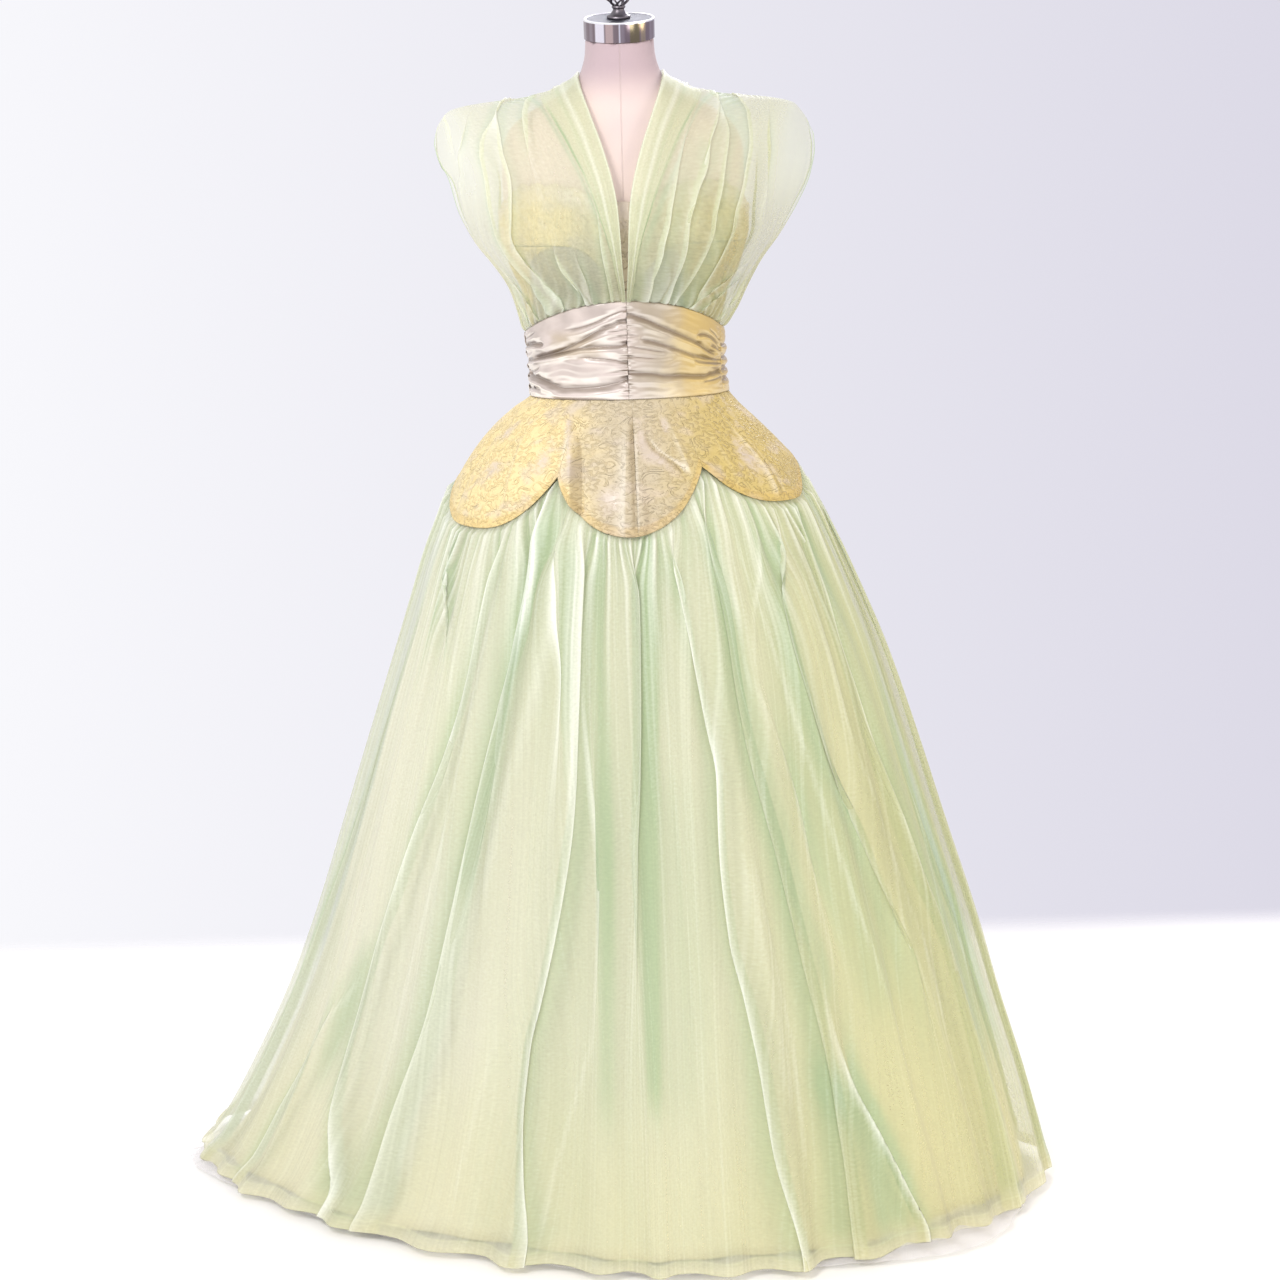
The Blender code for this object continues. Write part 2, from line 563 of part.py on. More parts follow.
def make_cummerbund():
    """Ruched satin cummerbund: two fronts gathered into the centre seam, and the back."""
    satin = material("cummerbund_satin", (0.62, 0.53, 0.38), 0.35)
    rows = 7
    pieces = (("cummerbund_front_left", LEFT_SEAM_TURN, 0.0, 0.0, 10, LEFT_RUCHES),
              ("cummerbund_front_right", 0.0, RIGHT_SEAM_TURN, 0.0, 10, RIGHT_RUCHES),
              ("cummerbund_back", RIGHT_SEAM_TURN, LEFT_SEAM_TURN + 360.0, 180.0, 15, BACK_RUCHES))
    for name, start, end, middle, columns, ruches in pieces:
        reach = max(abs(start - middle), abs(end - middle))
        turns = turns_between(start + SEAM_TURN, end - SEAM_TURN, columns)
        outer, inner = [], []
        for i in range(rows + 1):
            share = i / rows
            outer_ring, inner_ring = [], []
            for turn in turns:
                z = blend(YOKE_SEAM, waist_seam(turn), share)
                lift = ruche_lift(share, abs(turn - middle) / reach, ruches)
                outer_ring.append(garment_point(z, turn, max(lift, 0.0014 - SATIN_WALL)))
                inner_ring.append(garment_point(z, turn, -SATIN_WALL))
            outer.append(outer_ring)
            inner.append(inner_ring)
        wall(name, outer, inner, satin)


def make_yoke():
    """Hip yoke of lace on satin, whose lower edge is cut in scallops."""
    lace = material("yoke_lace", (0.78, 0.64, 0.36), 0.6)
    top = YOKE_SEAM - 2.0 * SEAM
    pieces = (("yoke_side_left", ((-93.0, -23.5, 13),)), ("yoke_front_left", ((-23.5, 1.5, 8),)),
              ("yoke_front_right", ((1.5, 24.5, 8),)), ("yoke_side_right", ((24.5, 93.0, 13),)),
              ("yoke_back", ((93.0, 155.0, 11), (155.0, 205.0, 10), (205.0, 267.0, 11))))
    for name, spans in pieces:
        turns = turns_through(spans)
        outer, inner = [], []
        for share in (None, 0.0, 0.38, 0.72, 1.0):
            heights = [yoke_edge(turn) for turn in turns]
            if share is not None:
                heights = [blend(z + YOKE_LAP, top, share) for z in heights]
            lifts = [yoke_lift(z, turn) for z, turn in zip(heights, turns)]
            rows = list(zip(heights, turns, lifts))
            outer.append([garment_point(z, turn, lift) for z, turn, lift in rows])
            inner.append([garment_point(z, turn, lift - LACE_WALL) for z, turn, lift in rows])
        wall(name, outer, inner, lace)


def skirt_rings(turns, fine_turns):
    """Outer face of the skirt as rings of (height, turn, lift) from the hem up to under the yoke."""
    rings = []
    for z in reversed(SKIRT_LEVELS):
        rings.append([(z, turn, fold_lift(z, turn) + gather_lift(z, turn)) for turn in turns])
    for z in FINE_LEVELS:
        rings.append([(z, turn, 0.002 + fold_lift(z, turn) + gather_lift(z, turn))
                      for turn in fine_turns])
    ring = []
    for turn in fine_turns:
        z = yoke_edge(turn) - GATHER_DROP
        ring.append((z, turn, 0.0012 + fold_lift(z, turn) + gather_lift(z, turn)))
    rings.append(ring)
    for above, ring_turns in ((-0.0008, fine_turns), (YOKE_LAP, turns)):
        rings.append([(yoke_edge(turn) + above, turn, -LACE_WALL - TUCK_GAP) for turn in ring_turns])
    return rings


def make_skirt():
    """Sheer outer skirt, a front and a back panel, gathered under the yoke."""
    sheer = material("skirt_sheer", (0.66, 0.76, 0.50), 0.6)
    for name, start in (("skirt_front", -90.0), ("skirt_back", 90.0)):
        count = SKIRT_STEPS // 2
        turns = turns_between(start + SEAM_TURN, start + 180.0 - SEAM_TURN, count)
        fine = turns_between(start + SEAM_TURN, start + 180.0 - SEAM_TURN, 2 * count)
        rings = skirt_rings(turns, fine)
        outer = [[garment_point(z, turn, lift) for z, turn, lift in ring] for ring in rings]
        inner = [[garment_point(z, turn, lift - SHEER_WALL) for z, turn, lift in ring]
                 for ring in rings]
        wall(name, outer, inner, sheer)


def underskirt_lift(z, turn):
    """How far the underskirt lies inside the skirt's plain section, with its own broad waves."""
    drop = smooth_share((0.86 - z) / 0.5)
    waves = 0.008 * drop * math.cos(math.radians(UNDERSKIRT_WAVES * turn + 25.0))
    return -0.0150 - 0.020 * drop + waves


def make_underskirt():
    """Taffeta underskirt, hung from under the yoke inside the sheer skirt."""
    taffeta = material("underskirt_taffeta", (0.80, 0.76, 0.50), 0.4)
    top_lift = -LACE_WALL - TUCK_GAP - SHEER_WALL - LAYER_GAP
    for name, start in (("underskirt_front", -90.0), ("underskirt_back", 90.0)):
        count = UNDERSKIRT_STEPS // 2
        turns = turns_between(start + SEAM_TURN, start + 180.0 - SEAM_TURN, count)
        rings = [[(z, turn, underskirt_lift(z, turn)) for turn in turns] for z in UNDERSKIRT_LEVELS]
        rings.append([(yoke_edge(turn) - 0.010, turn, -0.0095) for turn in turns])
        rings.append([(yoke_edge(turn) + 0.012, turn, top_lift) for turn in turns])
        outer = [[garment_point(z, turn, lift) for z, turn, lift in ring] for ring in rings]
        inner = [[garment_point(z, turn, lift - TAFFETA_WALL) for z, turn, lift in ring]
                 for ring in rings]
        wall(name, outer, inner, taffeta)


def flounce_reach(turn):
    """How far the net lies out on the floor past the skirt's plain hem."""
    peeps = ((48.0, 0.050, 16.0), (-80.0, 0.030, 14.0), (150.0, 0.030, 22.0), (235.0, 0.024, 18.0))
    return -0.006 + sum(reach * bump(turn_gap(turn, at), width) for at, reach, width in peeps)


def make_net_flounce():
    """Net flounce sewn inside the underskirt, which lies out on the floor under the hem."""
    net = material("flounce_net", (0.86, 0.87, 0.82), 0.8)
    seam_z = UNDERSKIRT_LEVELS[1]
    turns = [-90.0 + 360.0 * i / UNDERSKIRT_STEPS for i in range(UNDERSKIRT_STEPS)]
    outer = [[], [], [], []]
    inner = [[], [], [], []]
    for turn in turns:
        reach = flounce_reach(turn)
        seat = underskirt_lift(seam_z, turn) - TAFFETA_WALL - LAYER_GAP
        profile = ((0.0036, reach, 0.0020, reach), (0.0100, -0.030, 0.0088, -0.0308),
                   (0.0450, -0.050, 0.0450, -0.050 - NET_WALL), (seam_z, seat, seam_z, seat - NET_WALL))
        for i, (outer_z, outer_lift, inner_z, inner_lift) in enumerate(profile):
            outer[i].append(garment_point(outer_z, turn, outer_lift))
            inner[i].append(garment_point(inner_z, turn, inner_lift))
    wall("net_flounce", outer, inner, net, closed=True)


def bodice_point(level, side, share, is_front):
    """Point of the bodice's plain surface: side is -1 for the viewer's left and 1 for the right,
    and share runs from the neckline or the centre back to the side seam or the sleeve's edge."""
    row = BODICE.at(level)
    half = row.right if side > 0 else row.left
    neck = row.neck if is_front else 0.0
    end = math.radians(row.end)
    exponent = 2.0 / row.round
    turn = blend(math.asin(math.sin(end) * (neck / half) ** (1.0 / exponent)), end, share)
    x = half * (math.sin(turn) / math.sin(end)) ** exponent
    depth = row.front if is_front else row.back
    y = depth * max(math.cos(turn), 0.0) ** exponent + SEAM
    if not is_front:
        y = max(y, math.sqrt(max(NECK_REACH ** 2 - x ** 2, 0.0)))
    rise = row.rise if is_front else row.rise_back
    seam = waist_seam(math.degrees(turn) if is_front else 180.0) + 3.0 * SEAM
    z = row.z + rise * (SHOULDER.at(x).z - SHOULDER_REST) + row.waist * (seam - WAIST_SEAM_REST)
    point = Vector((side * x, -y if is_front else y, z))
    if level < 1.0:
        around = max(math.degrees(turn), SEAM_TURN)
        around = min(around, 90.0 - SEAM_TURN)
        around = side * (around if is_front else 180.0 - around)
        point = garment_point(seam, around, -0.0005).lerp(point, level)
    return point


def bodice_normal(level, side, share, is_front):
    """Outward direction of the plain surface."""
    step = 0.02
    low_level, high_level = max(level - step * 8, 0.0), min(level + step * 8, TOP_LEVEL)
    low_share, high_share = max(share - step, 0.0), min(share + step, 1.0)
    up = (bodice_point(high_level, side, share, is_front)
          - bodice_point(low_level, side, share, is_front))
    out = (bodice_point(level, side, high_share, is_front)
           - bodice_point(level, side, low_share, is_front))
    normal = out.cross(up).normalized() * (side if is_front else -side)
    if level == 0:
        normal.z = 0.0
        normal.normalize()
    at_side_seam = share == 1.0 and BODICE.at(level).end > 88.0
    at_shoulder_seam = level == TOP_LEVEL and abs(bodice_point(level, side, share, is_front).y) < 0.003
    if at_side_seam or at_shoulder_seam:
        normal.y = 0.0
        normal.normalize()
    return normal


def front_columns(level):
    """Shares of the front's columns: the first ones lie under the neckline band."""
    band = BAND_SHARE.at(level).share
    shares = [band * i / BAND_COLUMNS for i in range(BAND_COLUMNS + 1)]
    rest = FRONT_COLUMNS - BAND_COLUMNS
    shares += [blend(band, 1.0, (i + 1) / rest) for i in range(rest)]
    return shares


def front_gather(level, column):
    """Gathers that fan out from the waist seam and are caught again in the shoulder seam."""
    share = (column - BAND_COLUMNS) / (FRONT_COLUMNS - BAND_COLUMNS)
    if share <= 0.0 or share >= 1.0:
        return 0.0
    edges = smooth_share(share / 0.04) * smooth_share((1.0 - share) / 0.06)
    height = 0.45 + 0.55 * math.sin(math.pi * min(level / 9.0, 1.0))
    height *= smooth_share((11.3 - level) / 1.5)
    ridges = sum(rise * bump(share - at, GATHER_WIDTH) for at, rise in FRONT_GATHERS)
    return edges * height * ridges


def make_bodice_front():
    """Sheer front halves, cut in one with the cap sleeves, and the folded bands along the V."""
    sheer = material("bodice_sheer", (0.70, 0.78, 0.54), 0.6)
    band_sheer = material("band_sheer", (0.66, 0.78, 0.50), 0.6)
    for side, word in ((-1, "left"), (1, "right")):
        outer, inner, band_outer, band_inner = [], [], [], []
        for level in CUT_LEVELS:
            outer_ring, inner_ring, normals = [], [], []
            for column, share in enumerate(front_columns(level)):
                point = bodice_point(level, side, share, True)
                normal = bodice_normal(level, side, share, True)
                normals.append(normal)
                outer_ring.append(point + normal * front_gather(level, column))
                inner_ring.append(outer_ring[-1] - normal * BODICE_WALL)
            strip_points = list(zip(outer_ring, normals))[:BAND_COLUMNS + 1]
            band_inner.append([p + n * 2.0 * SEAM for p, n in strip_points])
            band_outer.append([p + n * (2.0 * SEAM + BAND_WALL) for p, n in strip_points])
            outer.append(outer_ring)
            inner.append(inner_ring)
        if side < 0:
            outer, inner = [r[::-1] for r in outer], [r[::-1] for r in inner]
            band_outer, band_inner = [r[::-1] for r in band_outer], [r[::-1] for r in band_inner]
        wall("bodice_front_" + word, outer, inner, sheer)
        wall("neckline_band_" + word, band_outer, band_inner, band_sheer)


def make_bodice_back():
    """Sheer back in one piece, cut in one with the back of both cap sleeves."""
    sheer = material("bodice_back_sheer", (0.70, 0.78, 0.54), 0.6)
    outer, inner = [], []
    half = BACK_COLUMNS // 2
    for level in CUT_LEVELS:
        outer_ring, inner_ring = [], []
        for column in range(BACK_COLUMNS + 1):
            side = 1 if column <= half else -1
            share = abs(half - column) / half
            point = bodice_point(level, side, share, False)
            normal = bodice_normal(level, side, share, False)
            height = smooth_share((8.0 - level) / 7.0) * smooth_share((1.0 - share) / 0.1)
            ridge = (0.5 + 0.5 * math.cos(math.pi * BACK_GATHERS * share)) * BACK_RISE * height
            outer_ring.append(point + normal * ridge)
            inner_ring.append(outer_ring[-1] - normal * BODICE_WALL)
        outer.append(outer_ring)
        inner.append(inner_ring)
    wall("bodice_back", outer, inner, sheer)


def main():
    for old in list(bpy.data.objects):
        bpy.data.objects.remove(old, do_unlink=True)
    make_stand()
    make_form()
    make_neck_cap()
    make_finial()
    make_underbodice()
    make_bodice_front()
    make_bodice_back()
    make_cummerbund()
    make_yoke()
    make_skirt()
    make_underskirt()
    make_net_flounce()


main()
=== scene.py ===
"""Party dress on a dress form: a sheer gathered gown with a deep V neck over a lace underbodice, a
ruched satin cummerbund, a scalloped lace hip yoke, a taffeta underskirt and a net flounce.

Metres, +Z up, the front faces -Y.  Round the figure, places are turns in degrees: 0 is the centre
front, 90 the viewer's right, 180 the centre back and -90 the viewer's left.
"""
import math
from types import SimpleNamespace

import bmesh
import bpy
import numpy as np
from mathutils import Matrix, Vector


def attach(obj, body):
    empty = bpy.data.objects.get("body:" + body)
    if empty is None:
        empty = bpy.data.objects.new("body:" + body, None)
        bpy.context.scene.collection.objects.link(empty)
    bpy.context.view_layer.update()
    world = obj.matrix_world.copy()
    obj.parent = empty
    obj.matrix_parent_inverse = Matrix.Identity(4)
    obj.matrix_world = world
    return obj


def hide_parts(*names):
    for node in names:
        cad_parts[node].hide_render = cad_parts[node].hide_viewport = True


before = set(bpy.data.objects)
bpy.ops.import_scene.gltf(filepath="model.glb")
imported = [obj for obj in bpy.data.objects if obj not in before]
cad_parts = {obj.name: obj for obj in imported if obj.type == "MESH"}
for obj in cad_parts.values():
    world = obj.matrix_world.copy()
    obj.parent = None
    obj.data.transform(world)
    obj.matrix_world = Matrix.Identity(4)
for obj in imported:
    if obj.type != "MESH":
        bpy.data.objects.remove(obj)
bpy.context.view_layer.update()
scene = bpy.context.scene

# Heights above the floor
WAIST_SIDE = 1.1120         # cummerbund's top edge at the sides and back
WAIST_PEAK = 0.0400         # how much higher it stands at the centre front
WAIST_REST = 1.1300         # waist seam's height in the first row of the bodice's table
YOKE_SEAM = 1.0340          # seam between the cummerbund and the yoke
SHOULDER_REST = 1.3900      # shoulder's height in the last row of the bodice's table
HEM = 0.0100                # lower edge of the sheer skirt

# How far a sewn edge stays from the middle of its seam
SEAM = 0.0003

# Thickness of the cloths
SATIN_WALL = 0.0008
BUST_WALL = 0.0010
YOKE_WALL = 0.0012
TAFFETA_WALL = 0.0009

# The stand's neck cap
NECK_TILT = math.radians(12.0)
NECK_CENTRE = 1.4668        # middle of the neck's slanted top
CAP_RADIUS = 0.0435
CAP_HEIGHT = 0.0240
CAP_RIM = 0.0022            # width of the bright rim round the cap's top
# Painted reflections in upright bands round the cap's polished side: from and to these angles, and their
# colour
CAP_REFLECTION_BANDS = (
    (-0.76, -0.46, (0.84, 0.80, 0.88)), (-0.42, -0.20, (0.52, 0.40, 0.40)), (-0.03, 0.00, (0.90, 0.90, 0.98)),
    (0.28, 0.58, (0.20, 0.17, 0.11)), (0.62, 0.80, (0.34, 0.28, 0.22)), (1.5, 2.1, (0.70, 0.68, 0.74)),
    (-2.4, -1.6, (0.62, 0.60, 0.66)), (2.6, 2.9, (0.55, 0.50, 0.44)),
)


class Table:
    """A short table with named columns, read between its rows by a smooth curve that never
    overshoots them."""

    def __init__(self, names, rows):
        self.names = names.split()
        self.values = np.array(sorted(rows), float)
        keys = self.values[:, :1]
        slopes = np.diff(self.values[:, 1:], axis=0) / np.diff(keys, axis=0)
        low, high = slopes[:-1], slopes[1:]
        same = low * high > 0.0
        self.slopes = np.zeros_like(self.values[:, 1:])
        self.slopes[1:-1] = np.where(same, 2.0 * low * high / np.where(same, low + high, 1.0), 0.0)

    def at(self, key):
        """All columns at these keys, as named values."""
        keys = self.values[:, 0]
        key = np.clip(np.asarray(key, float), keys[0], keys[-1])
        i = np.clip(np.searchsorted(keys, key, side="right") - 1, 0, len(keys) - 2)
        width = keys[i + 1] - keys[i]
        t = (key - keys[i]) / width
        found = SimpleNamespace()
        for c, name in enumerate(self.names[1:]):
            value = (
                self.values[i, c + 1] * (2.0 * t ** 3 - 3.0 * t ** 2 + 1.0)
                + self.slopes[i, c] * width * (t ** 3 - 2.0 * t ** 2 + t)
                + self.values[i + 1, c + 1] * (3.0 * t ** 2 - 2.0 * t ** 3)
                + self.slopes[i + 1, c] * width * (t ** 3 - t ** 2))
            setattr(found, name, value)
        return found


# Half sizes of the padded form.  Round is the power of a section's outline, where 2 is an ellipse
FORM = Table("z half front back round", [
    (0.790, 0.135, 0.095, 0.105, 2.1),
    (0.800, 0.147, 0.103, 0.113, 2.1),
    (0.860, 0.158, 0.112, 0.122, 2.1),
    (0.910, 0.159, 0.113, 0.124, 2.1),
    (0.970, 0.145, 0.103, 0.115, 2.1),
    (1.020, 0.116, 0.086, 0.086, 2.1),
    (1.060, 0.109, 0.081, 0.075, 2.1),
    (1.100, 0.110, 0.083, 0.076, 2.1),
    (1.150, 0.121, 0.090, 0.081, 2.1),
    (1.200, 0.140, 0.108, 0.088, 2.1),
    (1.235, 0.149, 0.121, 0.093, 2.1),
    (1.270, 0.150, 0.116, 0.095, 2.1),
    (1.310, 0.151, 0.100, 0.095, 2.1),
    (1.340, 0.150, 0.083, 0.090, 2.1),
    (1.365, 0.138, 0.068, 0.080, 2.0),
    (1.383, 0.112, 0.057, 0.068, 2.0),
    (1.398, 0.080, 0.051, 0.058, 2.0),
    (1.411, 0.058, 0.048, 0.052, 2.0),
    (1.428, 0.048, 0.046, 0.047, 2.0),
    (1.448, 0.0425, 0.043, 0.043, 2.0),
])

# Outer half sizes of the worn dress from the bust seam down to the hem, without its folds.  Mid is
# the y of its middle, and skew the shift of y for each unit of x
GARMENT = Table("z left right front back mid skew round", [
    (1.155, 0.1350, 0.1310, 0.0995, 0.0920, 0.000, 0.00, 2.05),
    (1.130, 0.1300, 0.1245, 0.0960, 0.0885, 0.000, 0.00, 2.05),
    (1.112, 0.1275, 0.1205, 0.0935, 0.0865, 0.000, 0.00, 2.05),
    (1.090, 0.1230, 0.1190, 0.0915, 0.0845, 0.000, 0.00, 2.05),
    (1.070, 0.1210, 0.1190, 0.0905, 0.0838, 0.000, 0.00, 2.05),
    (1.050, 0.1210, 0.1205, 0.0912, 0.0848, 0.000, 0.00, 2.05),
    (1.034, 0.1235, 0.1255, 0.0945, 0.0885, 0.000, 0.00, 2.05),
    (1.018, 0.1450, 0.1380, 0.1040, 0.0970, 0.000, 0.00, 2.05),
    (0.997, 0.1700, 0.1600, 0.1170, 0.1090, 0.000, 0.00, 2.05),
    (0.970, 0.1950, 0.1860, 0.1330, 0.1240, 0.000, 0.00, 2.05),
    (0.945, 0.2130, 0.2070, 0.1480, 0.1380, 0.000, 0.00, 2.05),
    (0.918, 0.2280, 0.2210, 0.1620, 0.1530, 0.000, 0.00, 2.05),
    (0.885, 0.2420, 0.2400, 0.1750, 0.1700, 0.000, 0.00, 2.05),
    (0.840, 0.2620, 0.2610, 0.1880, 0.1900, 0.000, 0.00, 2.00),
    (0.780, 0.2830, 0.2870, 0.2020, 0.2150, 0.000, 0.00, 2.00),
    (0.700, 0.3110, 0.3190, 0.2210, 0.2450, -0.002, -0.01, 1.95),
    (0.600, 0.3460, 0.3520, 0.2420, 0.2790, -0.005, -0.02, 1.90),
    (0.480, 0.3870, 0.3890, 0.2660, 0.3150, -0.010, -0.04, 1.85),
    (0.350, 0.4320, 0.4290, 0.2910, 0.3500, -0.016, -0.07, 1.80),
    (0.250, 0.4720, 0.4560, 0.3080, 0.3730, -0.021, -0.09, 1.75),
    (0.150, 0.5210, 0.4860, 0.3230, 0.3920, -0.025, -0.11, 1.72),
    (0.050, 0.5780, 0.5120, 0.3360, 0.4070, -0.028, -0.12, 1.70),
    (0.003, 0.6150, 0.5220, 0.3420, 0.4130, -0.029, -0.12, 1.70),
])

# Turns of the yoke's seams
YOKE_LEFT = -93.0
YOKE_FRONT_LEFT = -23.5
YOKE_FRONT = 1.5
YOKE_FRONT_RIGHT = 24.5
YOKE_RIGHT = 93.0
YOKE_ROUND = YOKE_LEFT + 360.0

# Scallops of the yoke's lower edge: start and end, heights there and at the lowest place, the share
# of the way at which that lies, and roundness
SCALLOPS = (
    (YOKE_LEFT, YOKE_FRONT_LEFT, 0.930, 0.946, 0.882, 0.62, 2.2),
    (YOKE_FRONT_LEFT, YOKE_FRONT_RIGHT, 0.946, 0.953, 0.876, 0.47, 2.1),
    (YOKE_FRONT_RIGHT, YOKE_RIGHT, 0.953, 0.951, 0.904, 0.45, 2.4),
    (YOKE_RIGHT, 155.0, 0.951, 0.945, 0.890, 0.48, 2.2),
    (155.0, 205.0, 0.945, 0.945, 0.879, 0.50, 2.1),
    (205.0, YOKE_ROUND, 0.945, 0.930, 0.886, 0.52, 2.2),
)
FLUTE_TOP = YOKE_SEAM - 0.015       # height below which the yoke's flutes begin

# The yoke laid flat as a fan: radius of its seam, how much longer and how much narrower it lies
FAN_RADIUS = 0.177
FAN_LENGTH = 1.35
FAN_SPREAD = 0.62
YOKE_RADIUS = 0.16          # the worn yoke's middle radius, for the slope of its flutes

# Flutes of the stiff yoke: turn, how far out and how wide at its edge
YOKE_FLUTES = (
    (-62.0, 0.0030, 9.0), (-21.0, 0.0055, 4.0), (1.5, 0.0065, 3.2), (27.0, 0.0050, 5.0),
    (60.0, 0.0030, 9.0), (120.0, 0.0040, 8.0), (158.0, 0.0050, 5.0), (180.0, 0.0055, 5.0),
    (203.0, 0.0050, 5.0), (240.0, 0.0040, 8.0),
)

# The skirt's long folds: turn at the yoke, turn at the hem, how far each ridge stands out there
SKIRT_FOLDS = (
    (-91.0, -91.0, 0.010), (-80.0, -79.0, 0.013), (-69.0, -70.0, 0.010), (-58.0, -61.0, 0.018),
    (-47.0, -52.0, 0.013), (-34.0, -43.0, 0.020), (-23.0, -30.0, 0.016), (-11.5, -19.5, 0.026),
    (-4.0, -8.0, 0.014), (2.5, 1.5, 0.020), (10.0, 13.0, 0.014), (17.0, 23.5, 0.026),
    (25.0, 34.0, 0.015), (34.0, 46.5, 0.020), (45.0, 55.0, 0.010), (57.0, 65.0, 0.015),
    (69.0, 77.0, 0.009), (81.0, 88.0, 0.012), (94.0, 98.0, 0.020), (107.0, 109.0, 0.024),
    (119.0, 120.0, 0.018), (131.0, 131.0, 0.026), (143.0, 144.0, 0.020), (156.0, 155.0, 0.028),
    (168.0, 167.0, 0.020), (179.0, 180.0, 0.026), (191.0, 192.0, 0.018), (203.0, 204.0, 0.027),
    (216.0, 216.0, 0.021), (229.0, 230.0, 0.025), (242.0, 243.0, 0.018), (256.0, 256.0, 0.022),
    (269.0, 269.0, 0.010),
)
FOLD_TOP = 0.900            # height below which the long folds grow
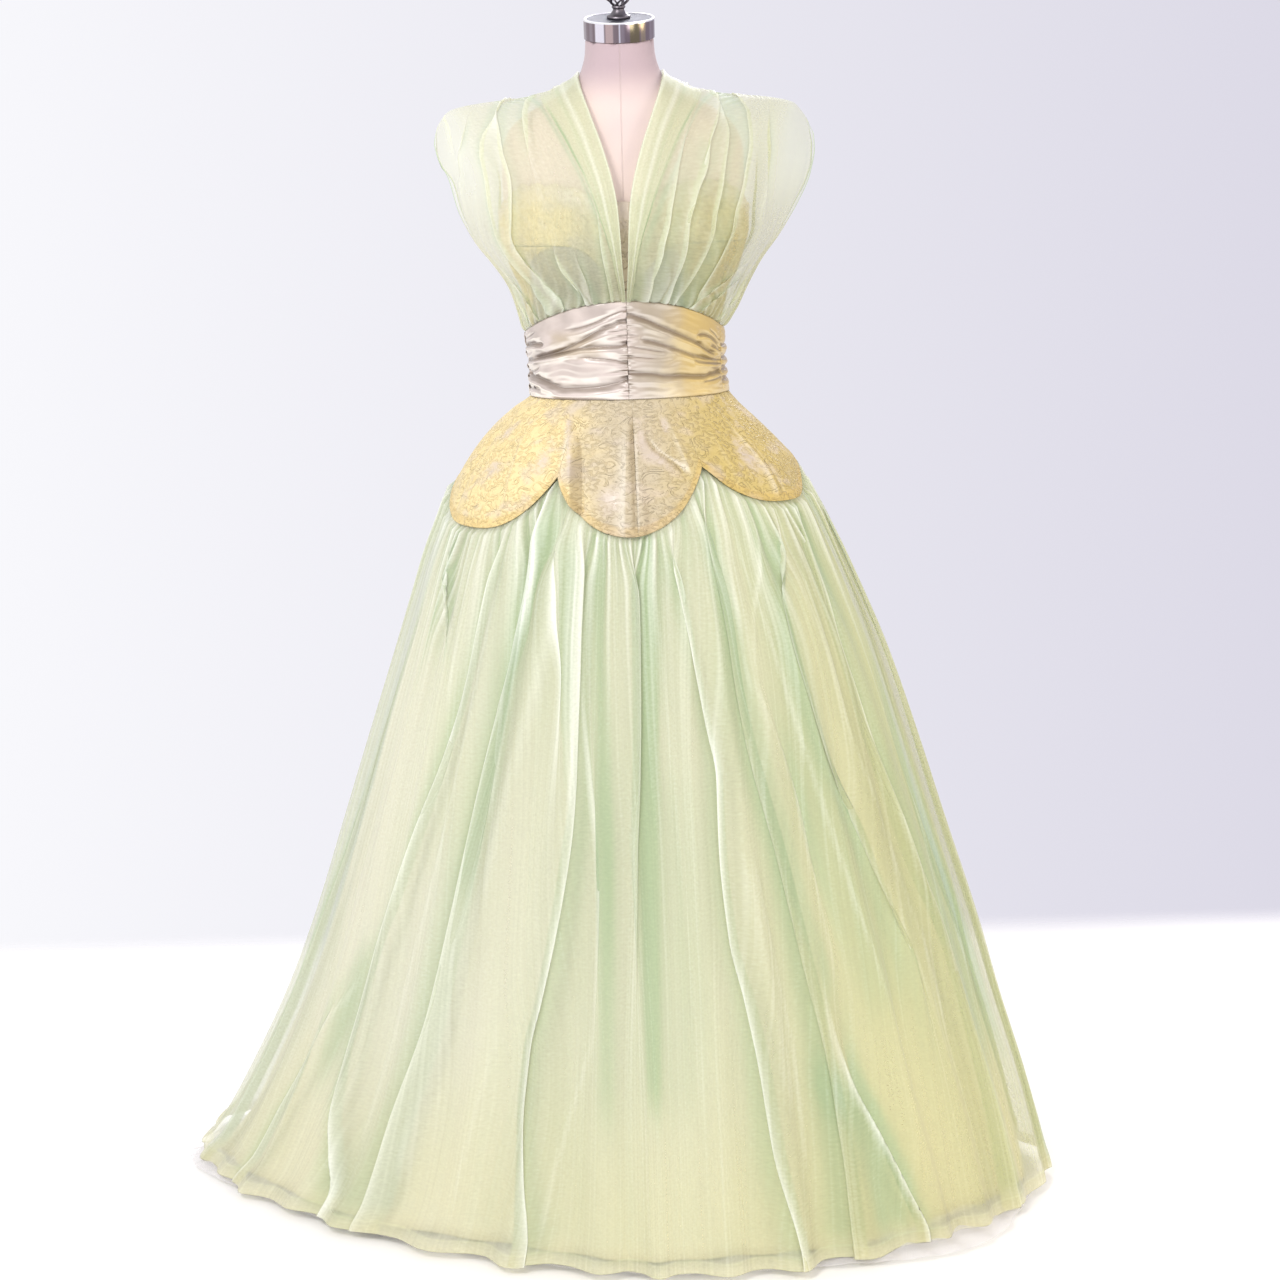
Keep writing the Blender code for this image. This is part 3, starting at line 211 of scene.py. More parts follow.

# Overlapping folds of the sheer skirt: (height, turn) down each crisp edge, which way the edge faces
# (1 the viewer's right, -1 the left), how wide the overlap is in turns, how far it stands out and how
# white the painted highlight on its edge is
OVERLAPS = (
    (((0.92, -29.0), (0.80, -30.2), (0.69, -32.4), (0.60, -34.2), (0.50, -35.7), (0.40, -37.0),
      (0.30, -38.2), (0.15, -40.5), (0.02, -41.0)), -1, 3.2, 0.0050, 0.70),
    (((0.90, -21.0), (0.81, -23.6), (0.76, -24.0), (0.68, -26.0)), -1, 2.0, 0.0030, 0.10),
    (((0.91, -17.7), (0.80, -17.4), (0.70, -17.1), (0.60, -16.7), (0.50, -16.5)), 1, 1.7, 0.0032, 0.80),
    (((0.89, -11.7), (0.80, -11.8), (0.70, -12.0), (0.60, -12.4), (0.50, -14.0), (0.40, -16.1),
      (0.33, -18.0), (0.27, -19.9), (0.21, -20.2), (0.13, -19.0), (0.02, -17.5)), 1, 2.0, 0.0050, 1.00),
    (((0.84, -10.2), (0.68, -9.0), (0.59, -8.4), (0.49, -8.2), (0.39, -8.3), (0.28, -8.8), (0.18, -9.5)),
     1, 1.4, 0.0030, 0.65),
    (((0.90, 1.2), (0.80, 1.4), (0.70, 1.2), (0.60, 0.6), (0.50, -0.4), (0.38, -0.5), (0.18, -0.9)),
     1, 2.2, 0.0045, 0.40),
    (((0.89, 9.3), (0.80, 11.4), (0.73, 13.0), (0.65, 14.7), (0.59, 16.0), (0.50, 15.7), (0.40, 16.4),
      (0.33, 18.2), (0.25, 19.7), (0.15, 20.7), (0.02, 22.9)), -1, 1.9, 0.0045, 1.00),
    (((0.93, 19.5), (0.80, 21.7), (0.71, 22.0), (0.63, 23.2), (0.56, 24.9), (0.50, 26.4), (0.43, 27.6),
      (0.35, 28.9), (0.29, 29.9), (0.22, 30.8), (0.10, 31.4), (0.02, 31.4)), -1, 2.4, 0.0060, 0.30),
    (((0.80, 26.9), (0.73, 28.2), (0.66, 30.7), (0.58, 33.2), (0.48, 35.1), (0.37, 37.0), (0.28, 39.5)),
     1, 1.4, 0.0026, 0.50),
    (((0.38, 35.2), (0.30, 35.8), (0.22, 37.4), (0.15, 39.8), (0.08, 42.2), (0.02, 43.8)),
     1, 1.3, 0.0030, 0.85),
    (((0.88, 44.5), (0.83, 42.0), (0.79, 38.9), (0.74, 37.8), (0.68, 38.9), (0.60, 40.8), (0.50, 45.7),
      (0.40, 48.9), (0.33, 51.4), (0.25, 52.6), (0.08, 52.8)), -1, 2.2, 0.0032, 0.40),
    (((0.92, 57.2), (0.80, 56.7), (0.73, 55.7), (0.66, 56.4), (0.56, 58.2), (0.45, 60.7), (0.35, 63.2),
      (0.23, 64.2), (0.02, 64.1)), 1, 2.8, 0.0045, 0.45),
    (((0.80, 66.0), (0.60, 66.5), (0.45, 69.0), (0.30, 72.0), (0.10, 73.0)), 1, 2.0, 0.0030, 0.15),
    (((0.88, -40.2), (0.81, -41.5), (0.70, -43.0), (0.60, -45.5), (0.53, -47.7), (0.43, -50.5),
      (0.35, -53.0), (0.25, -54.0), (0.17, -52.6), (0.09, -50.0), (0.02, -48.6)),
     -1, 2.0, 0.0050, 0.95),
    (((0.36, -57.5), (0.25, -61.0), (0.17, -64.0), (0.10, -66.0), (0.02, -66.4)), -1, 1.4, 0.0034, 0.80),
    (((0.88, -60.0), (0.79, -55.0), (0.73, -50.5), (0.69, -47.5)), 1, 1.6, 0.0030, 0.65),
    (((0.80, -70.0), (0.60, -72.5), (0.30, -78.0), (0.02, -79.0)), -1, 2.2, 0.0040, 0.30),
    (((0.90, 83.0), (0.50, 84.0), (0.02, 86.0)), 1, 2.4, 0.0040, 0.40),
    (((0.91, 103.0), (0.50, 105.0), (0.02, 108.0)), -1, 2.4, 0.0045, 0.60),
    (((0.89, 116.0), (0.60, 118.0), (0.30, 115.0), (0.02, 117.0)), 1, 2.6, 0.0050, 0.80),
    (((0.88, 128.0), (0.62, 126.0), (0.25, 122.5), (0.02, 124.0)), -1, 1.8, 0.0040, 0.70),
    (((0.91, 140.0), (0.55, 137.0), (0.02, 135.0)), -1, 3.2, 0.0060, 0.60),
    (((0.90, 151.0), (0.70, 150.0), (0.45, 147.0)), 1, 1.8, 0.0035, 0.80),
    (((0.87, 163.0), (0.50, 160.0), (0.25, 157.0), (0.02, 158.0)), 1, 2.4, 0.0050, 0.95),
    (((0.86, 174.0), (0.60, 173.0), (0.02, 171.0)), -1, 2.8, 0.0055, 0.45),
    (((0.86, 187.0), (0.60, 190.0), (0.30, 188.0), (0.02, 191.0)), 1, 2.2, 0.0045, 0.90),
    (((0.90, 199.0), (0.45, 203.0), (0.02, 205.0)), -1, 3.4, 0.0060, 0.50),
    (((0.88, 212.0), (0.50, 214.0), (0.20, 219.0)), 1, 1.8, 0.0035, 0.75),
    (((0.90, 224.0), (0.60, 227.0), (0.25, 226.0), (0.02, 229.0)), -1, 2.4, 0.0050, 0.85),
    (((0.90, 238.0), (0.50, 241.0), (0.02, 243.0)), 1, 3.0, 0.0055, 0.60),
    (((0.90, 251.0), (0.50, 252.0), (0.02, 256.0)), -1, 2.2, 0.0045, 0.70),
)

# Soft lit ridges of the skirt, with a painted highlight: (height, turn) down each, half width, how white
# the painted highlight is and how far out
SOFT_RIDGES = (
    (((0.88, -19.4), (0.78, -20.0), (0.68, -23.6), (0.59, -26.7), (0.51, -29.2), (0.43, -31.7),
      (0.33, -34.2), (0.22, -35.8), (0.08, -37.0)), 2.2, 0.42, 0.0050),
    (((0.30, -10.5), (0.20, -13.5), (0.12, -15.5), (0.04, -16.5)), 0.6, 0.35, 0.0020),
    (((0.88, -48.0), (0.77, -47.4), (0.66, -46.7)), 0.7, 0.45, 0.0020),
    (((0.91, -34.0), (0.87, -32.5), (0.80, -31.0)), 0.6, 0.50, 0.0015),
    (((0.41, -50.0), (0.20, -49.5), (0.05, -49.0)), 0.6, 0.25, 0.0015),
    (((0.50, 20.0), (0.40, 21.5), (0.30, 23.0), (0.20, 24.0)), 2.0, 0.35, 0.0040),
    (((0.50, 22.0), (0.37, 23.9), (0.27, 26.0), (0.20, 26.4), (0.12, 26.2)), 0.5, 0.35, 0.0015),
    (((0.88, 36.5), (0.81, 32.6), (0.77, 29.5), (0.72, 27.8)), 0.7, 0.55, 0.0020),
    (((0.60, -2.0), (0.45, -1.5), (0.25, 0.0), (0.02, 0.0)), 0.8, 0.20, 0.0020),
    (((0.90, -36.0), (0.70, -38.5), (0.50, -41.5), (0.30, -44.5), (0.10, -45.0)), 0.7, 0.45, 0.0018),
    (((0.88, -26.5), (0.70, -29.0), (0.50, -32.5), (0.34, -35.5)), 0.6, 0.40, 0.0015),
    (((0.89, -14.5), (0.75, -14.2), (0.62, -13.8), (0.50, -14.8)), 0.5, 0.45, 0.0012),
    (((0.80, 6.0), (0.60, 7.5), (0.40, 9.0), (0.20, 10.0)), 0.7, 0.28, 0.0016),
    (((0.88, 30.0), (0.74, 33.0), (0.60, 36.5), (0.45, 40.0), (0.30, 43.0)), 0.7, 0.40, 0.0016),
    (((0.88, 50.0), (0.66, 49.0), (0.45, 54.0), (0.25, 57.0)), 0.8, 0.35, 0.0016),
    (((0.30, -26.0), (0.18, -27.5), (0.06, -28.5)), 0.6, 0.30, 0.0012),
    (((0.93, -24.5), (0.86, -25.5), (0.76, -27.5)), 1.8, 0.40, 0.0030),
    (((0.93, 24.5), (0.86, 24.0), (0.76, 25.0)), 1.4, 0.45, 0.0025),
    (((0.88, 132.0), (0.50, 131.0), (0.10, 128.0)), 2.0, 0.45, 0.0050),
    (((0.88, 167.0), (0.50, 166.0), (0.10, 164.0)), 2.2, 0.55, 0.0060),
    (((0.88, 196.0), (0.50, 197.0), (0.10, 199.0)), 1.8, 0.45, 0.0050),
    (((0.88, 233.0), (0.50, 235.0), (0.10, 236.0)), 2.0, 0.50, 0.0050),
)

# Greener stretches of the skirt, painted shade where the cloth lies deeper: line, half width, how green
GREEN_BANDS = (
    (((0.90, -27.0), (0.75, -28.5), (0.60, -31.5), (0.45, -34.5)), 2.6, 0.45),
    (((0.90, -9.0), (0.75, -8.0), (0.60, -7.0), (0.40, -6.8), (0.20, -7.5)), 1.8, 0.55),
    (((0.90, 3.3), (0.80, 4.0), (0.70, 3.6), (0.60, 2.6), (0.45, 2.0), (0.22, 1.6)), 2.0, 0.85),
    (((0.60, 9.0), (0.40, 7.0), (0.20, 6.0)), 6.0, 0.30),
    (((0.90, 22.5), (0.75, 24.0), (0.60, 26.5), (0.45, 29.5), (0.33, 32.5)), 2.2, 0.60),
    (((0.24, 33.0), (0.16, 36.5), (0.08, 38.0), (0.02, 38.5)), 4.2, 0.85),
    (((0.90, 37.0), (0.70, 38.0), (0.50, 41.0), (0.30, 44.0)), 5.5, 0.50),
    (((0.90, 62.0), (0.60, 66.0), (0.20, 72.0)), 6.0, 0.45),
    (((0.36, -56.5), (0.28, -57.5), (0.18, -58.0)), 2.0, 0.60),
    (((0.88, -62.0), (0.80, -60.0), (0.74, -57.0)), 3.0, 0.40),
    (((0.90, 123.0), (0.50, 122.0), (0.10, 119.0)), 3.0, 0.50),
    (((0.90, 155.0), (0.50, 152.0), (0.10, 150.0)), 3.0, 0.50),
    (((0.90, 181.0), (0.50, 181.0), (0.10, 182.0)), 4.0, 0.60),
    (((0.90, 207.0), (0.50, 208.0), (0.10, 212.0)), 3.5, 0.50),
    (((0.90, 245.0), (0.50, 247.0), (0.10, 249.0)), 3.5, 0.50),
)

# The bodice, level by level from the waist seam to the shoulder seam: height, how far it follows the
# waist seam and, in front and at the back, the shoulder, then half sizes, the neckline's half width
# and the turn at which a half ends
BODICE = Table("level z waist rise rise_back left right front back neck end round", [
    (0, 1.130, 1.00, 0.00, 0.00, 0.1280, 0.1215, 0.0985, 0.0862, 0.0003, 90.0, 2.05),
    (1, 1.149, 0.60, 0.00, 0.00, 0.1340, 0.1370, 0.1070, 0.0930, 0.0010, 90.0, 2.05),
    (2, 1.173, 0.25, 0.00, 0.00, 0.1440, 0.1520, 0.1220, 0.0990, 0.0020, 90.0, 2.05),
    (3, 1.201, 0.00, 0.00, 0.00, 0.1650, 0.1710, 0.1370, 0.1060, 0.0035, 90.0, 2.00),
    (4, 1.228, 0.00, 0.00, 0.00, 0.1860, 0.1920, 0.1440, 0.1120, 0.0045, 86.0, 1.90),
    (5, 1.262, 0.00, 0.00, 0.10, 0.2030, 0.2130, 0.1400, 0.1160, 0.0065, 76.0, 1.80),
    (6, 1.300, 0.00, 0.00, 0.30, 0.2130, 0.2300, 0.1260, 0.1180, 0.0130, 72.0, 1.70),
    (7, 1.333, 0.00, 0.15, 0.60, 0.2270, 0.2360, 0.1040, 0.1080, 0.0240, 73.0, 1.65),
    (8, 1.359, 0.00, 0.45, 0.85, 0.2310, 0.2360, 0.0760, 0.0880, 0.0375, 76.0, 1.60),
    (9, 1.377, 0.00, 0.80, 1.02, 0.2300, 0.2330, 0.0450, 0.0560, 0.0480, 82.0, 1.60),
    (10, 1.387, 0.00, 0.97, 1.02, 0.2285, 0.2300, 0.0180, 0.0220, 0.0510, 87.0, 1.60),
    (11, 1.390, 0.00, 1.00, 1.00, 0.2270, 0.2280, 0.0010, 0.0010, 0.0500, 87.0, 1.60),
])
TOP_LEVEL = 11.0
# Height of the shoulder seam, out from the middle
SHOULDER = Table("x z", [
    (0.000, 1.4300), (0.046, 1.4290), (0.060, 1.4175), (0.075, 1.4090), (0.092, 1.4020),
    (0.120, 1.3960), (0.180, 1.3895), (0.210, 1.3830), (0.230, 1.3620), (0.240, 1.3560),
])
# How much of the way from the neckline to the side the folded band covers
BAND_SHARE = Table("level share", [
    (0, 0.024), (2, 0.034), (3, 0.042), (4, 0.066), (5, 0.112), (6, 0.150), (7, 0.175), (8, 0.188),
    (11, 0.190),
])
NECK_REACH = 0.0585         # the back's upper edge stays this far from the neck's axis

# Gathers of the sheer bodice: (level, share of the way from the neckline to the side) down each,
# which way its crisp edge faces (1 away from the neck), its width, how far out and how white its painted
# highlight is
LEFT_GATHERS = (
    (((5.2, 0.425), (6.6, 0.397), (8.0, 0.345), (9.6, 0.267), (10.8, 0.225)), 1, 0.026, 0.0040, 0.60),
    (((0.0, 0.37), (2.2, 0.455), (4.4, 0.525), (7.0, 0.495), (9.2, 0.390), (10.8, 0.31)),
     -1, 0.028, 0.0045, 0.75),
    (((0.0, 0.50), (3.0, 0.605), (5.6, 0.680), (7.2, 0.625), (8.8, 0.490), (10.8, 0.40)),
     1, 0.024, 0.0038, 0.60),
    (((4.6, 0.920), (5.8, 0.865), (7.2, 0.740), (8.8, 0.620), (10.1, 0.530)), -1, 0.020, 0.0024, 0.25),
    (((0.0, 0.24), (0.7, 0.257), (2.5, 0.303), (3.8, 0.333), (4.8, 0.350)), 1, 0.022, 0.0038, 0.80),
    (((0.0, 0.085), (2.4, 0.085), (4.5, 0.110), (5.8, 0.160), (7.0, 0.210)), 1, 0.020, 0.0032, 0.65),
    (((0.0, 0.355), (1.7, 0.435), (3.1, 0.470), (4.2, 0.485)), 1, 0.022, 0.0036, 0.80),
    (((0.0, 0.16), (1.5, 0.175), (3.0, 0.195), (4.4, 0.205)), -1, 0.018, 0.0026, 0.55),
    (((0.0, 0.20), (1.4, 0.230), (2.8, 0.250)), 1, 0.016, 0.0024, 0.45),
    (((0.0, 0.46), (1.6, 0.525), (3.2, 0.550)), -1, 0.018, 0.0024, 0.45),
    (((0.0, 0.60), (1.2, 0.660), (2.5, 0.740), (3.6, 0.770)), -1, 0.022, 0.0028, 0.35),
    (((0.0, 0.74), (1.6, 0.800), (3.4, 0.850)), 1, 0.022, 0.0026, 0.30),
    (((5.8, 0.870), (7.2, 0.820), (9.4, 0.815), (10.6, 0.81)), 1, 0.020, 0.0018, 0.25),
)
RIGHT_GATHERS = (
    (((0.0, 0.26), (2.6, 0.262), (4.0, 0.275), (5.4, 0.318), (6.6, 0.342), (7.7, 0.332), (9.3, 0.277),
      (10.8, 0.230)), 1, 0.026, 0.0045, 0.70),
    (((0.0, 0.148), (2.0, 0.145), (3.6, 0.160), (4.8, 0.200), (6.0, 0.222), (7.5, 0.220), (9.5, 0.208)),
     1, 0.028, 0.0046, 0.80),
    (((0.0, 0.385), (2.0, 0.420), (3.4, 0.448), (4.7, 0.495), (5.8, 0.520), (6.9, 0.515), (8.4, 0.455),
      (9.5, 0.380), (10.8, 0.33)), -1, 0.026, 0.0042, 0.60),
    (((0.0, 0.31), (1.0, 0.327), (2.8, 0.357), (4.4, 0.400), (5.8, 0.430), (7.2, 0.420), (9.1, 0.330),
      (10.8, 0.265)), 1, 0.022, 0.0038, 0.55),
    (((0.0, 0.39), (0.8, 0.437), (1.9, 0.537), (2.7, 0.640), (3.8, 0.720)), -1, 0.022, 0.0034, 0.50),
    (((0.0, 0.035), (1.0, 0.037), (2.9, 0.047), (4.4, 0.057)), 1, 0.016, 0.0026, 0.50),
    (((0.0, 0.10), (1.0, 0.100), (2.0, 0.100), (3.4, 0.105)), 1, 0.016, 0.0028, 0.55),
    (((0.0, 0.20), (1.0, 0.205), (2.2, 0.210), (3.6, 0.205)), 1, 0.016, 0.0026, 0.55),
    (((0.0, 0.47), (1.2, 0.560), (2.2, 0.680), (3.2, 0.760)), -1, 0.020, 0.0026, 0.35),
    (((3.6, 0.720), (5.0, 0.690), (6.5, 0.655), (8.5, 0.600), (10.4, 0.53)), 1, 0.022, 0.0026, 0.25),
    (((0.0, 0.70), (1.5, 0.790), (3.2, 0.850)), 1, 0.022, 0.0026, 0.30),
    (((8.0, 0.273), (6.4, 0.293), (5.2, 0.310)), -1, 0.014, 0.0018, 0.30),
)
BACK_GATHERS = (
    (((0.0, 0.10), (3.0, 0.13), (6.0, 0.15), (8.0, 0.14)), 1, 0.024, 0.0035, 0.60),
    (((0.0, 0.20), (3.0, 0.25), (6.0, 0.29), (9.0, 0.27), (10.8, 0.25)), -1, 0.026, 0.0040, 0.75),
    (((0.0, 0.31), (2.5, 0.36), (5.0, 0.41), (8.0, 0.38), (10.8, 0.33)), 1, 0.024, 0.0040, 0.60),
    (((0.0, 0.41), (2.5, 0.48), (4.6, 0.54), (7.0, 0.51), (9.8, 0.42)), -1, 0.028, 0.0042, 0.70),
    (((0.0, 0.55), (2.0, 0.62), (4.0, 0.68), (6.5, 0.66), (9.4, 0.55)), 1, 0.024, 0.0030, 0.35),
    (((0.0, 0.68), (1.8, 0.76), (3.6, 0.81)), -1, 0.022, 0.0026, 0.30),
)

# Creases between the puffs of the cummerbund: (share of the way round, share of the height) along
# each one, how deep it is, how wide, and where it starts and ends
LEFT_FOLDS = (
    (((0.00, 0.905), (0.10, 0.862), (0.20, 0.805), (0.30, 0.782), (0.45, 0.790)), 0.0030, 0.034, 0.0, 0.42),
    (((0.00, 0.815), (0.10, 0.762), (0.20, 0.700), (0.30, 0.632), (0.40, 0.588), (0.50, 0.566),
      (0.62, 0.560), (1.00, 0.600)), 0.0044, 0.040, 0.0, 0.80),
    (((0.55, 0.690), (0.66, 0.722), (0.73, 0.757), (0.85, 0.780), (1.00, 0.800)), 0.0048, 0.036, 0.58, 1.0),
    (((0.00, 0.572), (0.04, 0.552), (0.10, 0.555), (0.20, 0.560), (0.30, 0.558), (0.50, 0.545),
      (1.00, 0.555)), 0.0040, 0.030, 0.0, 1.0),
    (((0.00, 0.370), (0.04, 0.391), (0.10, 0.413), (0.20, 0.437), (0.28, 0.463), (0.40, 0.480)),
     0.0026, 0.030, 0.0, 0.34),
    (((0.00, 0.217), (0.04, 0.185), (0.10, 0.163), (0.20, 0.141), (0.30, 0.130), (0.45, 0.126),
      (0.50, 0.141), (0.55, 0.174), (0.60, 0.205), (0.66, 0.240), (0.72, 0.270), (0.80, 0.300),
      (1.00, 0.350)), 0.0058, 0.050, 0.0, 1.0),
    (((0.55, 0.500), (0.75, 0.390), (0.88, 0.370), (1.00, 0.400)), 0.0022, 0.034, 0.66, 1.0),
    (((0.00, 0.720), (0.08, 0.700), (0.25, 0.690)), 0.0016, 0.018, 0.0, 0.18),
    (((0.00, 0.655), (0.08, 0.640), (0.25, 0.630)), 0.0014, 0.016, 0.0, 0.14),
    (((0.00, 0.300), (0.08, 0.285), (0.25, 0.270)), 0.0012, 0.018, 0.0, 0.16),
    (((0.60, 0.900), (0.80, 0.880), (1.00, 0.890)), 0.0016, 0.030, 0.66, 1.0),
    (((0.62, 0.110), (0.80, 0.120), (1.00, 0.130)), 0.0020, 0.028, 0.66, 1.0),
)
RIGHT_FOLDS = (
    (((0.00, 0.880), (0.045, 0.860), (0.15, 0.815), (0.30, 0.750), (0.45, 0.696), (0.60, 0.652),
      (0.70, 0.598), (0.80, 0.560), (1.00, 0.540)), 0.0046, 0.038, 0.0, 0.92),
    (((0.00, 0.625), (0.18, 0.600), (0.30, 0.565), (0.45, 0.520), (0.60, 0.478), (0.80, 0.457),
      (1.00, 0.470)), 0.0036, 0.034, 0.08, 1.0),
    (((0.50, 0.430), (0.63, 0.412), (0.72, 0.408), (1.00, 0.420)), 0.0030, 0.026, 0.56, 1.0),
    (((0.00, 0.262), (0.06, 0.262), (0.20, 0.257), (0.30, 0.240), (0.60, 0.240), (0.72, 0.242),
      (0.80, 0.270), (1.00, 0.310)), 0.0042, 0.040, 0.0, 1.0),
    (((0.55, 0.700), (0.64, 0.735), (0.70, 0.760), (0.76, 0.765), (0.83, 0.740), (0.90, 0.700),
      (1.00, 0.640)), 0.0036, 0.032, 0.60, 1.0),
    (((0.00, 0.665), (0.08, 0.650), (0.20, 0.650)), 0.0022, 0.020, 0.0, 0.12),
    (((0.00, 0.540), (0.10, 0.520), (0.30, 0.490)), 0.0014, 0.022, 0.0, 0.34),
    (((0.00, 0.440), (0.10, 0.425), (0.30, 0.410)), 0.0012, 0.020, 0.0, 0.26),
    (((0.74, 0.640), (0.86, 0.630), (1.00, 0.600)), 0.0024, 0.022, 0.78, 1.0),
    (((0.70, 0.860), (0.86, 0.820), (1.00, 0.760)), 0.0018, 0.026, 0.76, 1.0),
    (((0.60, 0.160), (0.80, 0.180), (1.00, 0.220)), 0.0020, 0.028, 0.66, 1.0),
)
BACK_FOLDS = (
    (((0.00, 0.860), (0.25, 0.800), (0.55, 0.640), (1.00, 0.520)), 0.0044, 0.044, 0.0, 1.0),
    (((0.00, 0.640), (0.35, 0.600), (0.70, 0.420), (1.00, 0.340)), 0.0040, 0.044, 0.0, 1.0),
    (((0.20, 0.420), (0.50, 0.380), (0.80, 0.220), (1.00, 0.180)), 0.0036, 0.040, 0.22, 1.0),
    (((0.00, 0.270), (0.40, 0.250), (0.70, 0.140)), 0.0036, 0.042, 0.0, 0.62),
    (((0.40, 0.860), (0.70, 0.780), (1.00, 0.700)), 0.0034, 0.036, 0.48, 1.0),
    (((0.00, 0.440), (0.20, 0.455), (0.40, 0.500)), 0.0024, 0.030, 0.0, 0.36),
)
LEFT_SEAM_TURN = -88.0      # the cummerbund's side seams
RIGHT_SEAM_TURN = 70.0
RUCHE_FULLNESS = 0.0046     # how far the ruched satin stands out half way up
OVERLAP_PULL = 2.1          # how strongly a fold is laid over itself
OVERLAP_RISE = 0.36         # how far apart its layers lie, for one unit of its height
FOLD_FADE = 0.55            # share of a fold's length over which it fades out

# Bare satin windows in the yoke's lace: turn, height, half sizes, lean
YOKE_WINDOWS = (
    (4.6, 0.984, 2.6, 0.022, -60.0), (10.5, 0.962, 3.2, 0.013, -220.0), (15.6, 1.001, 1.9, 0.012, 0.0),
    (-31.5, 0.962, 3.4, 0.018, 0.0), (-26.5, 1.004, 1.6, 0.016, -160.0), (-20.5, 0.966, 1.4, 0.026, -110.0),
    (-6.0, 0.918, 4.2, 0.017, 0.0), (46.5, 0.960, 4.2, 0.025, 0.0), (-54.0, 0.951, 5.0, 0.011, 0.0),
    (-60.0, 0.992, 4.0, 0.010, 0.0), (150.0, 0.975, 4.0, 0.016, 0.0), (212.0, 0.975, 4.0, 0.018, 0.0),
    (182.0, 0.925, 4.0, 0.014, 0.0), (118.0, 0.945, 4.0, 0.012, 0.0), (243.0, 0.950, 4.0, 0.012, 0.0),
)
# Creases and lit flutes of the yoke: line of heights and turns, half width, how far out
YOKE_CREASES = (
    (((1.034, -0.6), (0.880, -1.8)), 2.4, 0.0046),
    (((1.034, 1.6), (0.880, 1.2)), 1.0, -0.0038),
    (((1.021, -31.0), (0.992, -24.0), (0.963, -20.0), (0.900, -17.5)), 2.2, 0.0052),
    (((1.021, -27.6), (0.992, -20.2), (0.963, -16.6), (0.900, -14.4)), 1.4, -0.0036),
    (((0.990, 7.0), (0.977, 9.0), (0.948, 17.5)), 1.3, -0.0036),
    (((1.020, 18.0), (0.990, 19.0), (0.950, 20.0)), 1.8, 0.0034),
    (((1.010, 50.0), (0.960, 51.5), (0.915, 53.0)), 1.8, 0.0044),
    (((1.010, 53.0), (0.960, 54.5), (0.915, 56.0)), 1.3, -0.0032),
    (((1.010, -46.0), (0.960, -43.0), (0.900, -41.0)), 2.2, 0.0030),
    (((1.010, -70.0), (0.960, -68.0), (0.900, -67.0)), 2.4, -0.0026),
    (((1.020, 36.0), (0.960, 37.0), (0.920, 38.0)), 2.0, 0.0026),
    (((1.034, 150.0), (0.900, 152.0)), 1.8, 0.0046),
    (((1.034, 180.0), (0.880, 180.0)), 1.6, -0.0044),
    (((1.034, 211.0), (0.900, 209.0)), 1.8, 0.0046),
)

# Strapless underbodice: its top edge, and the seam between its lace and its satin midriff
BUST_EDGE = Table("turn z", [
    (0, 1.267), (12, 1.278), (30, 1.290), (48, 1.291), (62, 1.278), (78, 1.262), (92, 1.252),
    (120, 1.242), (180, 1.236),
])
# Bare satin of the midriff: middle, half width and top of each patch
BARE_SATIN = ((-0.073, 0.041, 1.2210), (0.046, 0.023, 1.2180))
MIDRIFF_SEAM = 1.2200       # height of the seam, how far it dips in front and over how many degrees
MIDRIFF_DIP = 0.0550
MIDRIFF_DIP_WIDTH = 13.0
MIDRIFF_FOOT = 1.1000
UNDERBODICE_EASE = 0.0046   # room between the form and the underbodice
UNDERBODICE_INSET = 0.0057  # room between the underbodice and the dress's outer face
DART_TURN = 38.0            # darts of the bust, to both sides of the front

# Heights of the rows of points in the turned hem, above its lower edge
HEM_ROWS = (0.0, 0.0012, 0.0026, 0.0050, 0.0080, 0.0110, 0.0132, 0.0146, 0.0157, 0.0170, 0.0190, 0.0230,
            0.0290)
TURNED_UP = 0.0155          # how far up the hem is turned
SKIRT_EDGE = 0.06           # degrees left free between a panel's edge and the side seam
UNDERSKIRT_EDGE = 0.02
UNDERSKIRT_FOOT = 0.0160
NET_FOOT = 0.0045           # the net flounce's edge on the floor, and its seam inside the skirt
NET_TOP = 0.2400

# Places where the net flounce shows more under the hem: turn, how far out, half width
NET_PEEPS = ((48.0, 0.050, 16.0), (-80.0, 0.030, 14.0), (150.0, 0.030, 22.0), (235.0, 0.024, 18.0))

# The hook: radius of its ring, length of its shank and radius of its wire
HOOK_RING = 0.0019
HOOK_SHANK = 0.0062
HOOK_WIRE = 0.0006

# The finial: radius and height up the sides of its foot and its button, and its cage of bowed bars
FINIAL_FOOT = (
    (0.0145, 0.0), (0.0148, 0.0012), (0.0142, 0.0026), (0.0120, 0.0034), (0.0095, 0.0055), (0.0072, 0.0085),
    (0.0068, 0.0105), (0.0085, 0.0125), (0.0078, 0.0145), (0.0040, 0.0153),
)
FINIAL_BUTTON = (
    (0.0040, 0.0422), (0.0060, 0.0428), (0.0066, 0.0444), (0.0050, 0.0462), (0.0040, 0.0480),
    (0.0022, 0.0498),
)
CAGE_BARS = 7
CAGE_FOOT = 0.0135
CAGE_HEIGHT = 0.0300
CAGE_ENDS = 0.0036          # how far from the axis a bar starts and ends, and how much further it bows
CAGE_BOW = 0.0125
CAGE_TWIST = 130.0
BAR_RADIUS = 0.0019

# The camera
PITCH = math.radians(11.85)
ROLL = math.radians(1.5)
CAMERA_PLACE = (0.006, -2.88, 1.316)
FOCAL_PIXELS = 2273.0
PHOTO_PIXELS = 1280.0

FLOOR_RADIUS = 3.2

